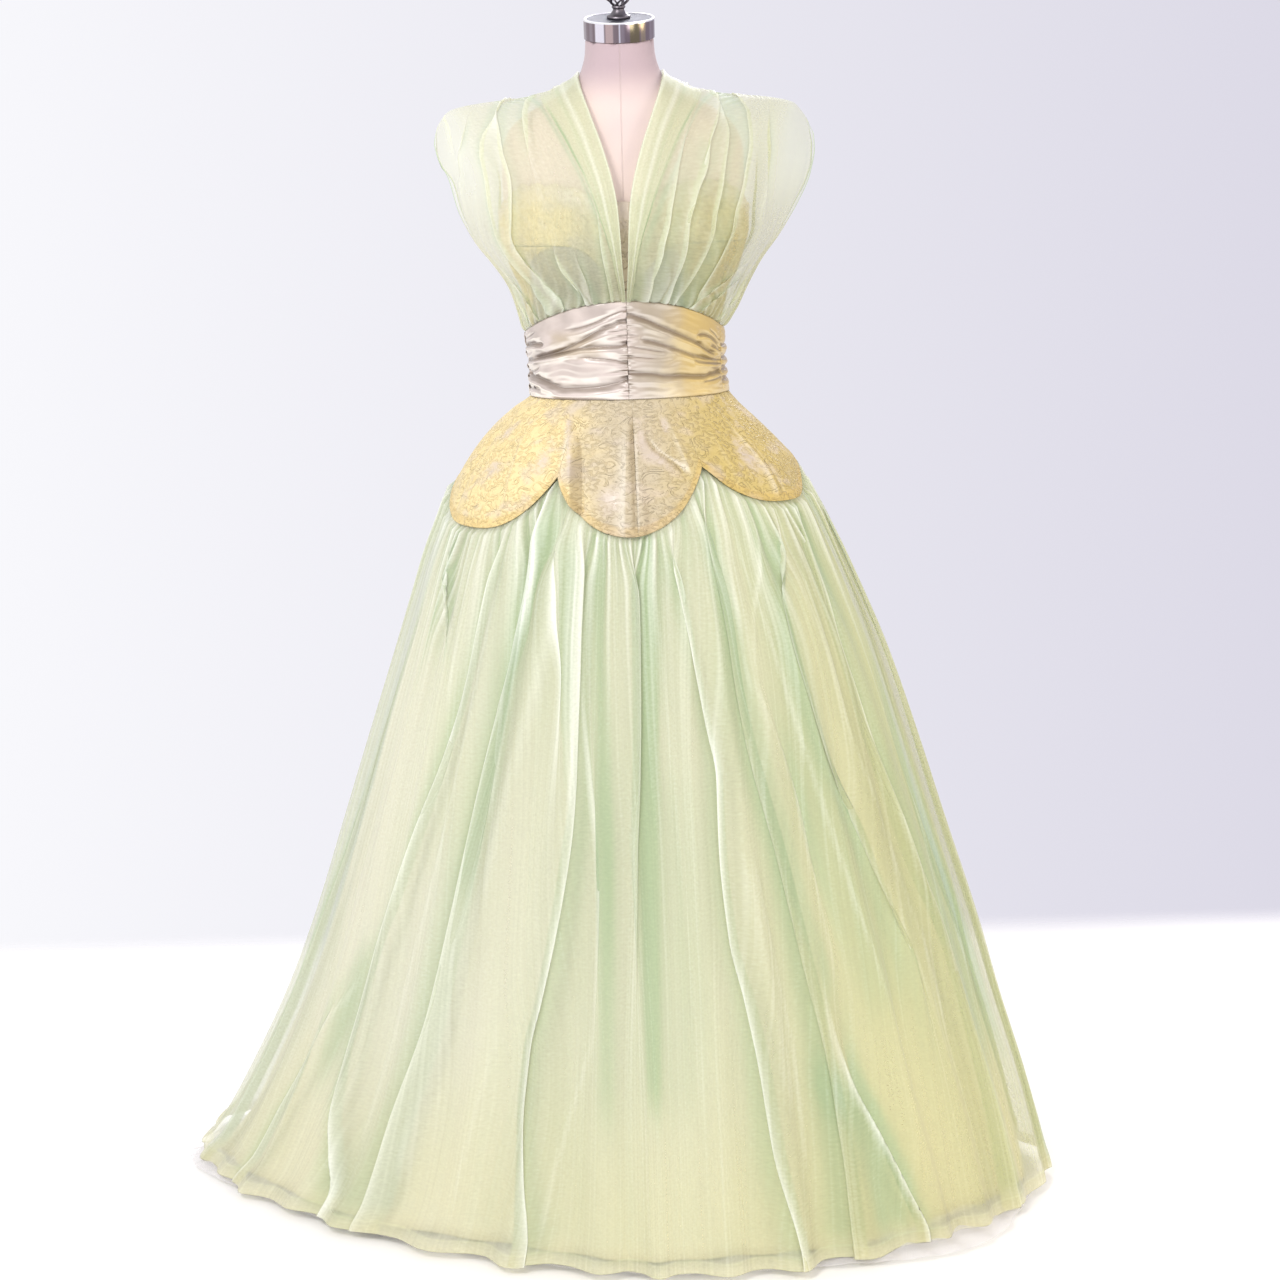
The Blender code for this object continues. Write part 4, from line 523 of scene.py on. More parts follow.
# Lamps: name, place, what it is aimed at, size, power and colour
LAMPS = (
    ("key", (-1.3, -2.4, 2.9), (0.0, 0.0, 0.9), 0.8, 54.0, (1.0, 0.985, 0.965)),
    ("fill", (1.9, -2.5, 1.3), (0.0, 0.0, 0.5), 1.2, 26.0, (1.0, 0.97, 0.90)),
    ("warm", (2.6, -0.6, 1.6), (0.0, 0.0, 0.9), 1.0, 14.0, (1.0, 0.88, 0.60)),
    ("back", (0.7, 2.6, 2.8), (0.0, 0.0, 0.9), 1.2, 46.0, (0.98, 0.98, 1.0)),
)

# Colours of the cloths at the viewer's left, the centre and the viewer's right, and single ones.  The change
# from left to right is painted light and shade: lighter at the viewer's left, darker and warmer at the right
SKIRT_TONES = ((0.68, 0.71, 0.53), (0.60, 0.65, 0.45), (0.55, 0.56, 0.29))
BODICE_TONES = ((0.76, 0.76, 0.52), (0.67, 0.71, 0.47), (0.62, 0.63, 0.38))
TAFFETA_TONES = ((0.88, 0.82, 0.70), (0.80, 0.75, 0.58), (0.78, 0.73, 0.46))
LACE_LIGHTS = ((0.82, 0.66, 0.32), (0.52, 0.44, 0.29), (0.55, 0.42, 0.12))
LACE_DEEPS = ((0.62, 0.44, 0.16), (0.38, 0.30, 0.17), (0.36, 0.24, 0.055))
# Greens of painted shade in hollows and under fold edges, also used where the sheer lies double
DEEP_GREEN = (0.36, 0.48, 0.27)
BODICE_GREEN = (0.44, 0.55, 0.35)
# Painted backlight of the open sleeves, and painted shade on the sleeve at the viewer's right
BACKLIT_GREEN = (0.90, 0.92, 0.66)
SLEEVE_SHADE = (0.66, 0.70, 0.44)
# Painted highlight on ridges and crisp fold edges
RIDGE_HIGHLIGHT = (0.95, 0.97, 0.87)
HEM_TONE = (0.84, 0.79, 0.50)


def power(value, exponent):
    """A power that keeps the value's sign."""
    return np.sign(value) * np.abs(value) ** exponent


def bump(distance, width):
    """A soft bump: 1 in its middle, falling off to both sides."""
    return np.exp(-(distance / width) ** 2)


def turn_gap(a, b):
    """Degrees from b to a, the short way round."""
    return (a - b + 180.0) % 360.0 - 180.0


def blend(low, high, share):
    return low + (high - low) * share


def smooth(share):
    """Soft rise from 0 to 1, level outside."""
    share = np.clip(share, 0.0, 1.0)
    return share * share * (3.0 - 2.0 * share)


def tuck(distance, width, sharpness):
    """A fold seen across: 1 along its middle, falling off to both sides."""
    return np.exp(-np.abs(distance / width) ** sharpness)


def swell(angle):
    """A wave between 0 in its troughs and 1 on its crests."""
    return 0.5 + 0.5 * np.cos(angle)


def ripple(turn, times, shift=0.0):
    """A wave that runs this many times round the figure."""
    return np.sin(np.radians(turn * times + shift))


def line_gap(z, turn, line):
    """Degrees between these places and a line that runs down the dress."""
    return turn_gap(turn, Table("z turn", line).at(z).turn)


def line_shown(z, line, top, foot):
    """1 along a line and fading out past its ends: for each end, how far past and over how much."""
    heights = [row[0] for row in line]
    above = smooth((max(heights) + top[0] - z) / top[1])
    return above * smooth((z - min(heights) + foot[0]) / foot[1])


def ring_point(row, z, turn, lift):
    """Points of a rounded section at these turns, moved out level with the floor by lift."""
    s, c = np.sin(np.radians(turn)), np.cos(np.radians(turn))
    x = np.where(s > 0, row.right, row.left) * power(s, 2.0 / row.round)
    y = -np.where(c > 0, row.front, row.back) * power(c, 2.0 / row.round) + row.skew * x
    scale = 1.0 + lift / np.hypot(x, y)
    return np.stack(np.broadcast_arrays(x * scale, y * scale + row.mid, z), -1)


def garment_point(z, turn, lift=0.0):
    """Points of the worn dress's plain surface, moved out by lift."""
    return ring_point(GARMENT.at(z), z, turn, lift)


def waist_seam(turn):
    """Height of the seam between the bodice and the cummerbund, which rises in front."""
    return WAIST_SIDE + WAIST_PEAK * np.maximum(np.cos(np.radians(turn)), 0.0) ** 1.7


def yoke_edge(turn):
    """Height of the yoke's scalloped lower edge."""
    turn = (np.asarray(turn, float) - YOKE_LEFT) % 360.0 + YOKE_LEFT
    height = np.full_like(turn, SCALLOPS[0][2])
    for start, end, start_z, end_z, low_z, low_at, roundness in SCALLOPS:
        share = np.clip((turn - start) / (end - start), 0.0, 1.0)
        before = blend(low_z, start_z, np.clip(1.0 - share / low_at, 0.0, 1.0) ** roundness)
        after = blend(low_z, end_z, np.clip((share - low_at) / (1.0 - low_at), 0.0, 1.0) ** roundness)
        here = (turn >= start) & (turn <= end)
        height = np.where(here, np.where(share < low_at, before, after), height)
    return height


def yoke_lift(z, turn):
    """The yoke's flutes, which grow towards its edge."""
    growth = smooth((FLUTE_TOP - z) / (FLUTE_TOP - yoke_edge(turn)))
    return growth * sum(rise * bump(turn_gap(turn, at), width) for at, rise, width in YOKE_FLUTES)


def fold_lift(z, turn):
    """The skirt's long folds: crisp ridges with soft valleys between them."""
    drop = np.clip((FOLD_TOP - z) / (FOLD_TOP - HEM), 0.0, 1.0)
    sway = drop ** 0.8
    growth = 0.12 + 0.88 * drop ** 0.75
    first = SKIRT_FOLDS[0][0]
    turn = (turn - first) % 360.0 + first
    lift = np.zeros_like(drop + turn)
    for low, high in zip(SKIRT_FOLDS, SKIRT_FOLDS[1:]):
        start = blend(low[0], low[1], sway)
        end = blend(high[0], high[1], sway)
        share = (turn - start) / (end - start)
        rise = blend(low[2], high[2], smooth(share))
        crest = swell(2.0 * math.pi * share) ** 1.3
        here = rise * growth * (crest - 0.35) * smooth(drop * 12.0)
        lift = np.where((share >= 0.0) & (share < 1.0), here, lift)
    return lift


def grid_normals(points):
    """Outward direction at each point of a grid whose rows run up and whose columns run right."""
    across = np.gradient(points, axis=1)
    up = np.gradient(points, axis=0)
    normal = np.cross(across, up)
    return normal / np.maximum(np.linalg.norm(normal, axis=-1, keepdims=True), 1e-12)


def cloth_places(points):
    """Flat places of a grid of cloth in metres, from the lengths along its rows and columns."""
    across = np.linalg.norm(np.diff(points, axis=1), axis=-1)
    up = np.linalg.norm(np.diff(points, axis=0), axis=-1)
    u = np.concatenate([np.zeros((points.shape[0], 1)), np.cumsum(across, axis=1)], axis=1)
    v = np.concatenate([np.zeros((1, points.shape[1])), np.cumsum(up, axis=0)], axis=0)
    return np.stack([u - u[:, -1:] * 0.5, v], -1)


def face_corners(numbers):
    """The four corners of each face of a grid of numbers."""
    corners = np.stack([numbers[:-1, :-1], numbers[:-1, 1:], numbers[1:, 1:], numbers[1:, :-1]], -1)
    return corners.reshape(-1, 4)


def lay_cloth(name, points, finish, wall=0.0, closed=False, places=None, **paints):
    """Sheet of cloth from a grid of points, with painted values at its points."""
    rows, columns = points.shape[:2]
    numbers = np.arange(rows * columns).reshape(rows, columns)
    around = points
    if closed:
        numbers = np.concatenate([numbers, numbers[:, :1]], axis=1)
        around = np.concatenate([points, points[:, :1]], axis=1)
    mesh = bpy.data.meshes.new(name)
    mesh.from_pydata(points.reshape(-1, 3).tolist(), [], face_corners(numbers).tolist())
    if places is None:
        places = cloth_places(around)
    spots = np.arange(places.shape[0] * places.shape[1]).reshape(places.shape[:2])
    spots = places.reshape(-1, 2)[face_corners(spots).ravel()]
    layer = mesh.uv_layers.new(name="cloth")
    layer.data.foreach_set("uv", spots.astype(np.float32).ravel())
    for label, values in paints.items():
        layer = mesh.attributes.new(label, "FLOAT", "POINT")
        spread = np.broadcast_to(values, (rows, columns))
        layer.data.foreach_set("value", spread.astype(np.float32).ravel())
    mesh.shade_smooth()
    mesh.materials.append(finish)
    piece = bpy.data.objects.new(name, mesh)
    scene.collection.objects.link(piece)
    if wall:
        skin = piece.modifiers.new("wall", "SOLIDIFY")
        skin.thickness = wall
        skin.offset = -1.0
    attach(piece, "root")
    return piece


class Value:
    """A number worked out by a material, with Python's own arithmetic."""

    def __init__(self, paint, socket):
        self.paint = paint
        self.socket = socket

    def __add__(self, other):
        return self.paint.maths("ADD", self, other)

    def __sub__(self, other):
        return self.paint.maths("SUBTRACT", self, other)

    def __rsub__(self, other):
        return self.paint.maths("SUBTRACT", other, self)

    def __mul__(self, other):
        return self.paint.maths("MULTIPLY", self, other)

    def __truediv__(self, other):
        return self.paint.maths("DIVIDE", self, other)

    def __neg__(self):
        return 0.0 - self

    def __abs__(self):
        return self.paint.maths("ABSOLUTE", self)

    __radd__ = __add__
    __rmul__ = __mul__

    def at_least(self, other):
        return self.paint.maths("MAXIMUM", self, other)

    def at_most(self, other):
        return self.paint.maths("MINIMUM", self, other)

    def step(self, start, end):
        """0 below start and 1 above end, with a soft rise between."""
        node = self.paint.node("ShaderNodeMapRange", {"interpolation_type": "SMOOTHSTEP"},
                               {"Value": self, "From Min": start, "From Max": end})
        return Value(self.paint, node.outputs[0])

    def window(self, start, full, fading, end):
        """1 between full and fading, with a soft rise before and a soft fall after."""
        return self.step(start, full) * (1.0 - self.step(fading, end))


class Paint:
    """One finish: a Principled material whose looks are worked out from its own places."""

    def __init__(self, name, **fixed):
        self.material = bpy.data.materials.new(name)
        self.material.use_nodes = True
        self.tree = self.material.node_tree
        self.shader = self.tree.nodes["Principled BSDF"]
        for label, value in fixed.items():
            self.shader.inputs[label.replace("_", " ")].default_value = value

    def put(self, socket, value):
        """Links a socket, or sets it to a plain number or colour."""
        if isinstance(value, Value):
            self.tree.links.new(value.socket, socket)
        elif isinstance(value, bpy.types.NodeSocket):
            self.tree.links.new(value, socket)
        elif isinstance(value, tuple) and len(value) == 3 and socket.type == "RGBA":
            socket.default_value = (*value, 1.0)
        else:
            socket.default_value = value

    def node(self, kind, settings=None, sockets=None):
        made = self.tree.nodes.new(kind)
        for label, value in (settings or {}).items():
            setattr(made, label, value)
        for label, value in (sockets or {}).items():
            self.put(made.inputs[label], value)
        return made

    def maths(self, operation, *terms):
        made = self.node("ShaderNodeMath", {"operation": operation}, dict(enumerate(terms)))
        return Value(self, made.outputs[0])

    def mix(self, share, low, high):
        """Colour between two colours."""
        made = self.node("ShaderNodeMix", {"data_type": "RGBA"}, {0: share, 6: low, 7: high})
        return made.outputs[2]

    def painted(self, label):
        made = self.node("ShaderNodeAttribute", {"attribute_name": label})
        return Value(self, made.outputs["Fac"])

    def places(self):
        return self.node("ShaderNodeUVMap", {"uv_map": "cloth"}).outputs[0]

    def body(self):
        return self.node("ShaderNodeTexCoord").outputs["Object"]

    def vector_maths(self, operation, first, second):
        return self.node("ShaderNodeVectorMath", {"operation": operation}, {0: first, 1: second}).outputs[0]

    def stretched(self, place, scale):
        return self.vector_maths("MULTIPLY", place, scale)

    def parts(self, vector):
        made = self.node("ShaderNodeSeparateXYZ", None, {0: vector})
        return [Value(self, socket) for socket in made.outputs]

    def noise(self, place, scale, detail=2.0, warp=0.0):
        made = self.node("ShaderNodeTexNoise", None,
                         {"Vector": place, "Scale": scale, "Detail": detail, "Distortion": warp})
        return Value(self, made.outputs["Fac"])

    def streaks(self, place, across, along, detail):
        """Noise drawn out one way, this fine across and along."""
        return self.noise(self.stretched(place, (across, along, 1.0)), 1.0, detail)

    def raised(self, height, distance, strength):
        """Relief of this height, in metres for one unit."""
        made = self.node("ShaderNodeBump", None,
                         {"Height": height, "Distance": distance, "Strength": strength})
        self.put(self.shader.inputs["Normal"], made.outputs[0])

    def give(self, **looks):
        for label, value in looks.items():
            self.put(self.shader.inputs[label.replace("_", " ")], value)
        return self.material


def sided(paint, side, reach, tones):
    """Colour at the viewer's left, the centre and the viewer's right, blended between: painted light and
    shade, lighter at the left and darker and warmer at the right.
    """
    left, middle, right = tones
    tint = paint.mix(side.step(-reach, -0.1 * reach), left, middle)
    return paint.mix(side.step(0.05 * reach, reach), tint, right)


def organza(name, opacity, reach, tones, green, open_backlight, open_shade, open_opacity, streaky):
    """Sheer silk with painted light: a painted highlight whitens its ridges and crisp fold edges, painted
    shade makes it greener in hollows and under fold edges, it is also greener where it lies double, and at
    the open sleeves it is clearer, with a painted backlight.  Its places run across the folds and along them."""
    paint = Paint(name, Roughness=0.50, Sheen_Weight=0.30, Sheen_Roughness=0.45, Specular_IOR_Level=0.30)
    place = paint.places()
    x, _, z = paint.parts(paint.body())
    ridge, depth, doubled = paint.painted("ridge"), paint.painted("depth"), paint.painted("doubled")
    sleeve = paint.painted("sleeve")
    streak = paint.streaks(place, 95.0, 1.1, 3.0) - 0.5
    thread = paint.streaks(place, 250.0, 0.8, 2.0) - 0.5
    cloud = paint.streaks(place, 14.0, 2.2, 2.0) - 0.5
    grain = paint.noise(place, 340.0, 1.0) - 0.5
    rough = 1.0 - sleeve.step(0.0, 0.35) * 0.9
    pale = sided(paint, x + cloud * 0.35 * reach, reach, tones)
    # painted shade: depth turns the sheer greener in hollows and under fold edges, and where it lies double
    tint = paint.mix((depth + cloud * 0.6 + streak * streaky).step(0.0, 1.0), pale, green)
    tint = paint.mix((0.055 - z).step(0.0, 0.045) * 0.7, tint, HEM_TONE)
    # painted backlight on the open sleeves, with painted shade towards the viewer's right
    tint = paint.mix(sleeve * 0.85, tint, paint.mix(x.step(-0.10, 0.20), open_backlight, open_shade))
    # painted highlight: ridge whitens ridges and fold edges; the streaks, threads and grain add the weave's
    # own pale marks
    shine = ridge + ((streak - 0.10) * streaky + (thread - 0.06) * 1.6 * streaky + grain * 0.18) * rough
    tint = paint.mix(shine.at_least(0.0).at_most(1.0), tint, RIDGE_HIGHLIGHT)
    # painted shade and highlight also make the sheer more opaque, as does cloth lying double
    alpha = opacity + ridge * 0.26 + doubled * 0.20 + depth * 0.24
    alpha = alpha + (streak * 0.5 * streaky + thread * 0.7 * streaky + grain * 0.16) * rough
    alpha = alpha - sleeve * (opacity - open_opacity)
    paint.raised((streak + 0.5) * rough, 0.0007, 0.5)
    return paint.give(Base_Color=tint, Alpha=alpha.at_most(0.97))


def taffeta():
    """Pale cream taffeta with a faint cross rib and soft cloudy sheen."""
    paint = Paint("cream_taffeta", Sheen_Weight=0.2, Specular_IOR_Level=0.45)
    place = paint.places()
    slub = paint.streaks(place, 20.0, 500.0, 3.0)
    cloud = paint.streaks(place, 9.0, 3.0, 3.0)
    x, _, z = paint.parts(paint.body())
    tint = sided(paint, x + (cloud - 0.5) * 0.12, 0.32, TAFFETA_TONES)
    tint = paint.mix(cloud.step(0.45, 0.75) * 0.5, tint, (0.78, 0.77, 0.52))
    tint = paint.mix((0.30 - z).step(0.0, 0.26) * 0.7, tint, (0.82, 0.73, 0.44))
    paint.raised(slub, 0.0003, 0.5)
    return paint.give(Base_Color=tint, Roughness=0.38 + slub * 0.12)


def satin(name, light, deep, middle, warm, shadow):
    """Lustrous satin with painted light: a painted highlight where a puff turns slightly down, painted shade
    where it turns steeply and in its creases, painted light and shade across it, darker past the centre front
    and warmer gold towards the viewer's right, and an olive patch high up at the left."""
    paint = Paint(name, Specular_IOR_Level=0.6, Sheen_Weight=0.10, Coat_Weight=0.20, Coat_Roughness=0.25)
    place = paint.places()
    x, _, z = paint.parts(paint.body())
    crease, tilt = paint.painted("crease"), paint.painted("tilt")
    slub = paint.streaks(place, 30.0, 900.0, 3.0)
    cloud = paint.noise(place, 26.0, 2.0)
    side = x + (cloud - 0.5) * 0.05
    tint = paint.mix(cloud.step(0.3, 0.7), light, deep)
    # painted light and shade: darker past the centre front and warm gold towards the viewer's right
    tint = paint.mix(side.step(-0.015, 0.035) * 0.80, tint, middle)
    tint = paint.mix(side.step(0.035, 0.085) * 0.92, tint, warm)
    olive = side.window(-0.105, -0.085, -0.055, -0.015)
    olive = olive * (z - YOKE_SEAM).window(0.045, 0.055, 0.072, 0.088)
    tint = paint.mix(olive * 0.75, tint, (0.47, 0.38, 0.26))
    # painted shade where a puff turns steeply up or down
    tint = paint.mix(abs(tilt).step(0.35, 1.0) * 0.55, tint, shadow)
    # painted highlight where a puff turns slightly down, weaker and more golden towards the viewer's right
    lit = (-tilt).window(0.02, 0.30, 0.45, 0.95)
    lit = lit * (cloud.step(0.35, 0.60) * 0.5 + 0.32) * (1.0 - side.step(-0.02, 0.01) * 0.42)
    tint = paint.mix(lit, tint, paint.mix(side.step(0.02, 0.07), (0.97, 0.91, 0.82), (0.88, 0.75, 0.44)))
    # painted shade in the creases
    tint = paint.mix(crease * 0.75, tint, shadow)
    paint.raised(slub + paint.noise(place, 150.0, 2.0) * 1.5, 0.0003, 0.5)
    return paint.give(Base_Color=tint, Roughness=0.27 + slub * 0.10)


def blossoms(paint, place, spacing, size, petals):
    """Flowers strewn over cloth, one in each cell: how far inside a petal a place lies, in shares of
    the flower's size, and how far from its middle."""
    cell = paint.node("ShaderNodeTexVoronoi", {"voronoi_dimensions": "2D"},
                      {"Vector": place, "Scale": 1.0 / spacing, "Randomness": 0.75})
    dx, dy, _ = paint.parts(paint.vector_maths("SUBTRACT", place, cell.outputs["Position"]))
    spin = paint.parts(cell.outputs["Color"])[0]
    reach = paint.maths("SQRT", dx * dx + dy * dy) / size
    angle = paint.maths("ARCTAN2", dy, dx) + spin * 6.283
    edge = paint.maths("COSINE", angle * petals) * 0.22 + 0.78
    return edge - reach, reach


def lace(name, bare_satin):
    """Raised gold lace on satin: curling stems and flowers edged with fine cord, golden at the
    viewer's left, beige at the centre front and olive gold at the right, partly the lace's own colour and
    partly painted light and shade, with a corded rim.  Where the motif leaves off, the satin shows.  Painted
    light and shade follow the slope of the yoke's flutes."""
    paint = Paint(name, Specular_IOR_Level=0.5, Sheen_Weight=0.1)
    place = paint.places()
    x, _, _ = paint.parts(paint.body())
    bare, rim, tilt = paint.painted("bare"), paint.painted("rim"), paint.painted("tilt")
    cloud = paint.noise(place, 30.0, 2.0)
    swirl = paint.noise(place, 46.0, 1.5, 2.2)
    grain = paint.noise(place, 420.0, 3.0)
    big = paint.noise(place, 75.0, 1.0).step(0.36, 0.56)
    curl = paint.maths("PINGPONG", swirl * 7.0, 1.0)
    twig = paint.maths("PINGPONG", paint.noise(place, 120.0, 1.0, 1.2) * 6.0, 1.0)
    stems = (1.0 - curl.step(0.02, 0.60)) * big
    stems = stems.at_least((1.0 - twig.step(0.04, 0.60)) * 0.65 * (1.0 - big))
    petal, reach = blossoms(paint, place, 0.036, 0.0120, 5.0)
    flower = petal.step(-0.06, 0.10)
    outline = 1.0 - abs(petal).step(0.02, 0.24)
    eye = 1.0 - reach.step(0.12, 0.32)
    cords = (stems * (1.0 - flower)).at_least(outline).at_least(eye)
    motif = (1.0 - bare + (swirl - 0.5) * 0.9 + (grain - 0.5) * 0.3).step(-0.15, 0.95)
    cover = (motif * 0.92).at_least(rim)
    side = x + (cloud - 0.5) * 0.10
    light = sided(paint, side, 0.115, LACE_LIGHTS)
    deep = sided(paint, side, 0.115, LACE_DEEPS)
    gold = paint.mix(cords * 0.34 + (grain - 0.5) * 0.6, light, deep)
    gold = paint.mix((cloud - 0.5).step(0.02, 0.18) * 0.40, gold, bare_satin)
    gold = paint.mix(rim * 0.36, gold, (0.62, 0.42, 0.14))
    satin_tone = paint.mix(cloud.step(0.3, 0.7), bare_satin, tuple(0.84 * part for part in bare_satin))
    satin_tone = paint.mix(cords * 0.25 + (grain - 0.5) * 0.4, satin_tone, gold)
    tint = paint.mix(cover, satin_tone, gold)
    # painted light and shade: lighter on flute sides that slope one way round, darker on those that slope the
    # other
    tint = paint.mix(tilt.step(0.10, 0.90) * 0.45, tint, (0.92, 0.86, 0.74))
    tint = paint.mix((-tilt).step(0.10, 0.90) * 0.52, tint, (0.26, 0.19, 0.09))
    height = (cords * 0.9 + flower * 0.3 + grain * 0.25) * cover + cover * 0.25
    paint.raised(height, 0.0015, 0.9)
    return paint.give(Base_Color=tint, Roughness=0.32 + cover * 0.25)


def net():
    """Stiff net, open between its threads."""
    paint = Paint("white_net", Roughness=0.6, Specular_IOR_Level=0.3)
    cell = paint.node("ShaderNodeTexVoronoi", {"voronoi_dimensions": "2D", "feature": "DISTANCE_TO_EDGE"},
                      {"Vector": paint.places(), "Scale": 520.0, "Randomness": 0.15})
    thread = 1.0 - Value(paint, cell.outputs["Distance"]).step(0.05, 0.16)
    return paint.give(Base_Color=(0.80, 0.77, 0.77), Alpha=0.25 + thread * 0.45)


def jersey():
    """Cream jersey over padding, with painted shade that darkens and pinks it up the neck, and a faint seam
    down the centre front.
    """
    paint = Paint("form_linen", Roughness=0.82, Sheen_Weight=0.3, Specular_IOR_Level=0.2)
    place = paint.body()
    x, y, z = paint.parts(place)
    seam = (1.0 - abs(x).step(0.0003, 0.0011)) * (1.0 - y.step(-0.02, 0.0))
    knit = paint.maths("SINE", z * 4200.0) * paint.maths("SINE", x * 4200.0)
    tint = paint.mix(paint.noise(place, 9.0, 3.0).step(0.3, 0.75), (0.76, 0.62, 0.56), (0.70, 0.57, 0.53))
    # painted shade up the neck, under the cap
    tint = paint.mix(z.step(1.380, 1.435) * 0.95, tint, (0.48, 0.37, 0.39))
    tint = paint.mix(seam * 0.35, tint, (0.50, 0.40, 0.37))
    paint.raised(knit * 0.3 + paint.noise(place, 420.0, 2.0) - seam * 3.0, 0.0003, 0.6)
    return paint.give(Base_Color=tint)


def metal(name, colour, rough, grain, metallic):
    """Metal with fine turned or brushed marks and a little wear."""
    paint = Paint(name, Metallic=metallic)
    place = paint.body()
    marks = paint.noise(paint.stretched(place, grain), 1.0, 3.0)
    patch = paint.noise(place, 30.0, 3.0)
    dark = tuple(c * 0.72 for c in colour)
    tint = paint.mix(patch.step(0.35, 0.75), colour, dark)
    paint.raised(marks, 0.00015, 0.5)
    return paint.give(Base_Color=tint, Roughness=rough + marks * 0.14 + patch * 0.06)


def cap_steel():
    """Turned steel of the neck cap: a greyer top, a painted highlight on its rim and painted reflections in
    upright bands round its side.
    """
    paint = Paint("cap_steel", Metallic=1.0)
    x, y, z = paint.parts(paint.body())
    height = (z - NECK_CENTRE) * math.cos(NECK_TILT) - y * math.sin(NECK_TILT)
    depth = (z - NECK_CENTRE) * math.sin(NECK_TILT) + y * math.cos(NECK_TILT)
    radius = paint.maths("SQRT", x * x + depth * depth)
    angle = paint.maths("ARCTAN2", x, -depth)
    brushed = paint.maths("SINE", angle * 19.0).step(-0.4, 0.9)
    tint = paint.mix(brushed, (0.24, 0.19, 0.21), (0.32, 0.27, 0.30))
    # painted reflections: bands of colour round the cap's side
    for start, end, colour in CAP_REFLECTION_BANDS:
        tint = paint.mix(angle.window(start, start + 0.05, end, end + 0.05), tint, colour)
    top = height.step(CAP_HEIGHT - 0.0008, CAP_HEIGHT - 0.0004)
    tint = paint.mix(top, tint, (0.115, 0.115, 0.145))
    # painted highlight: the rounded rim round the top is near white
    rim = radius.step(CAP_RADIUS - 0.0035, CAP_RADIUS - 0.0023)
    rim = rim * height.step(CAP_HEIGHT - 0.0022, CAP_HEIGHT - 0.0014)
    tint = paint.mix(rim, tint, (0.93, 0.92, 0.94))
    paint.raised(paint.maths("SINE", radius * 5200.0), 0.00004, 0.4)
    return paint.give(Base_Color=tint, Roughness=0.20 + top * 0.22)


def underbodice_point(z, turn, lift):
    """Face of the strapless underbodice, snug on the form at its foot and inside the cummerbund."""
    row = FORM.at(z)
    garment = GARMENT.at(np.maximum(z, MIDRIFF_FOOT))
    hug = smooth((z - MIDRIFF_FOOT) / 0.030) * (1.0 - smooth((z - 1.150) / 0.030))
    ease = blend(0.0006, UNDERBODICE_EASE, smooth((z - MIDRIFF_FOOT) / 0.050))
    row.left = row.right = row.half
    for side in ("left", "right", "front", "back"):
        size = getattr(row, side)
        snug = np.minimum(getattr(garment, side) - UNDERBODICE_INSET, size + 0.006)
        setattr(row, side, blend(size + ease, snug, hug))
    row.round = blend(row.round, garment.round, hug)
    row.mid = row.skew = 0.0
    return ring_point(row, z, turn, lift)


def make_underbodice(gold, plain):
    """Lace over the bust and the midriff below it, whose satin shows bare under each bust."""
    turns = np.linspace(-180.0, 180.0, 190, endpoint=False)[None, :]
    share = np.linspace(0.0, 1.0, 34)[:, None]
    gap = np.abs(turn_gap(turns, 0.0))
    seam = MIDRIFF_SEAM - MIDRIFF_DIP * bump(gap, MIDRIFF_DIP_WIDTH)
    z = blend(MIDRIFF_FOOT, seam - SEAM, share)
    pull = 0.0009 * np.sin(np.radians(turns * 13.0) + 9.0 * share) * (1.0 - share)
    points = underbodice_point(z, turns, 0.0012 + pull)
    bare = np.zeros_like(z)
    for middle, half, top in BARE_SATIN:
        away = np.abs(points[..., 0] - middle) / half
        arch = top - 0.018 * away ** 2.5
        shown = smooth((1.12 - away) / 0.14) * smooth((arch - z) / 0.004 + 0.5)
        bare = bare + shown * (points[..., 1] < 0.0)
    satin_piece = lay_cloth("midriff", points, plain, SATIN_WALL, True, bare=np.clip(bare, 0.0, 1.0),
                            rim=0.0, tilt=0.0)
    edge = BUST_EDGE.at(gap).z + 0.0045 * np.abs(np.cos(np.radians(turns * 18.0)))
    z = blend(seam + SEAM, edge, share)
    dart = -0.0012 * bump(gap - DART_TURN, 2.0) * smooth((0.75 - share) / 0.5)
    rim = bump(1.0 - share, 0.035)
    points = underbodice_point(z, turns, 0.0013 + dart + 0.0009 * rim)
    worn = 0.85 * smooth((share - 0.40) / 0.55)
    lace_piece = lay_cloth("lace_bust", points, gold, BUST_WALL, True, bare=worn, rim=0.25 * rim, tilt=0.0)
    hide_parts("underbodice_midriff")
    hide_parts("underbodice_lace")


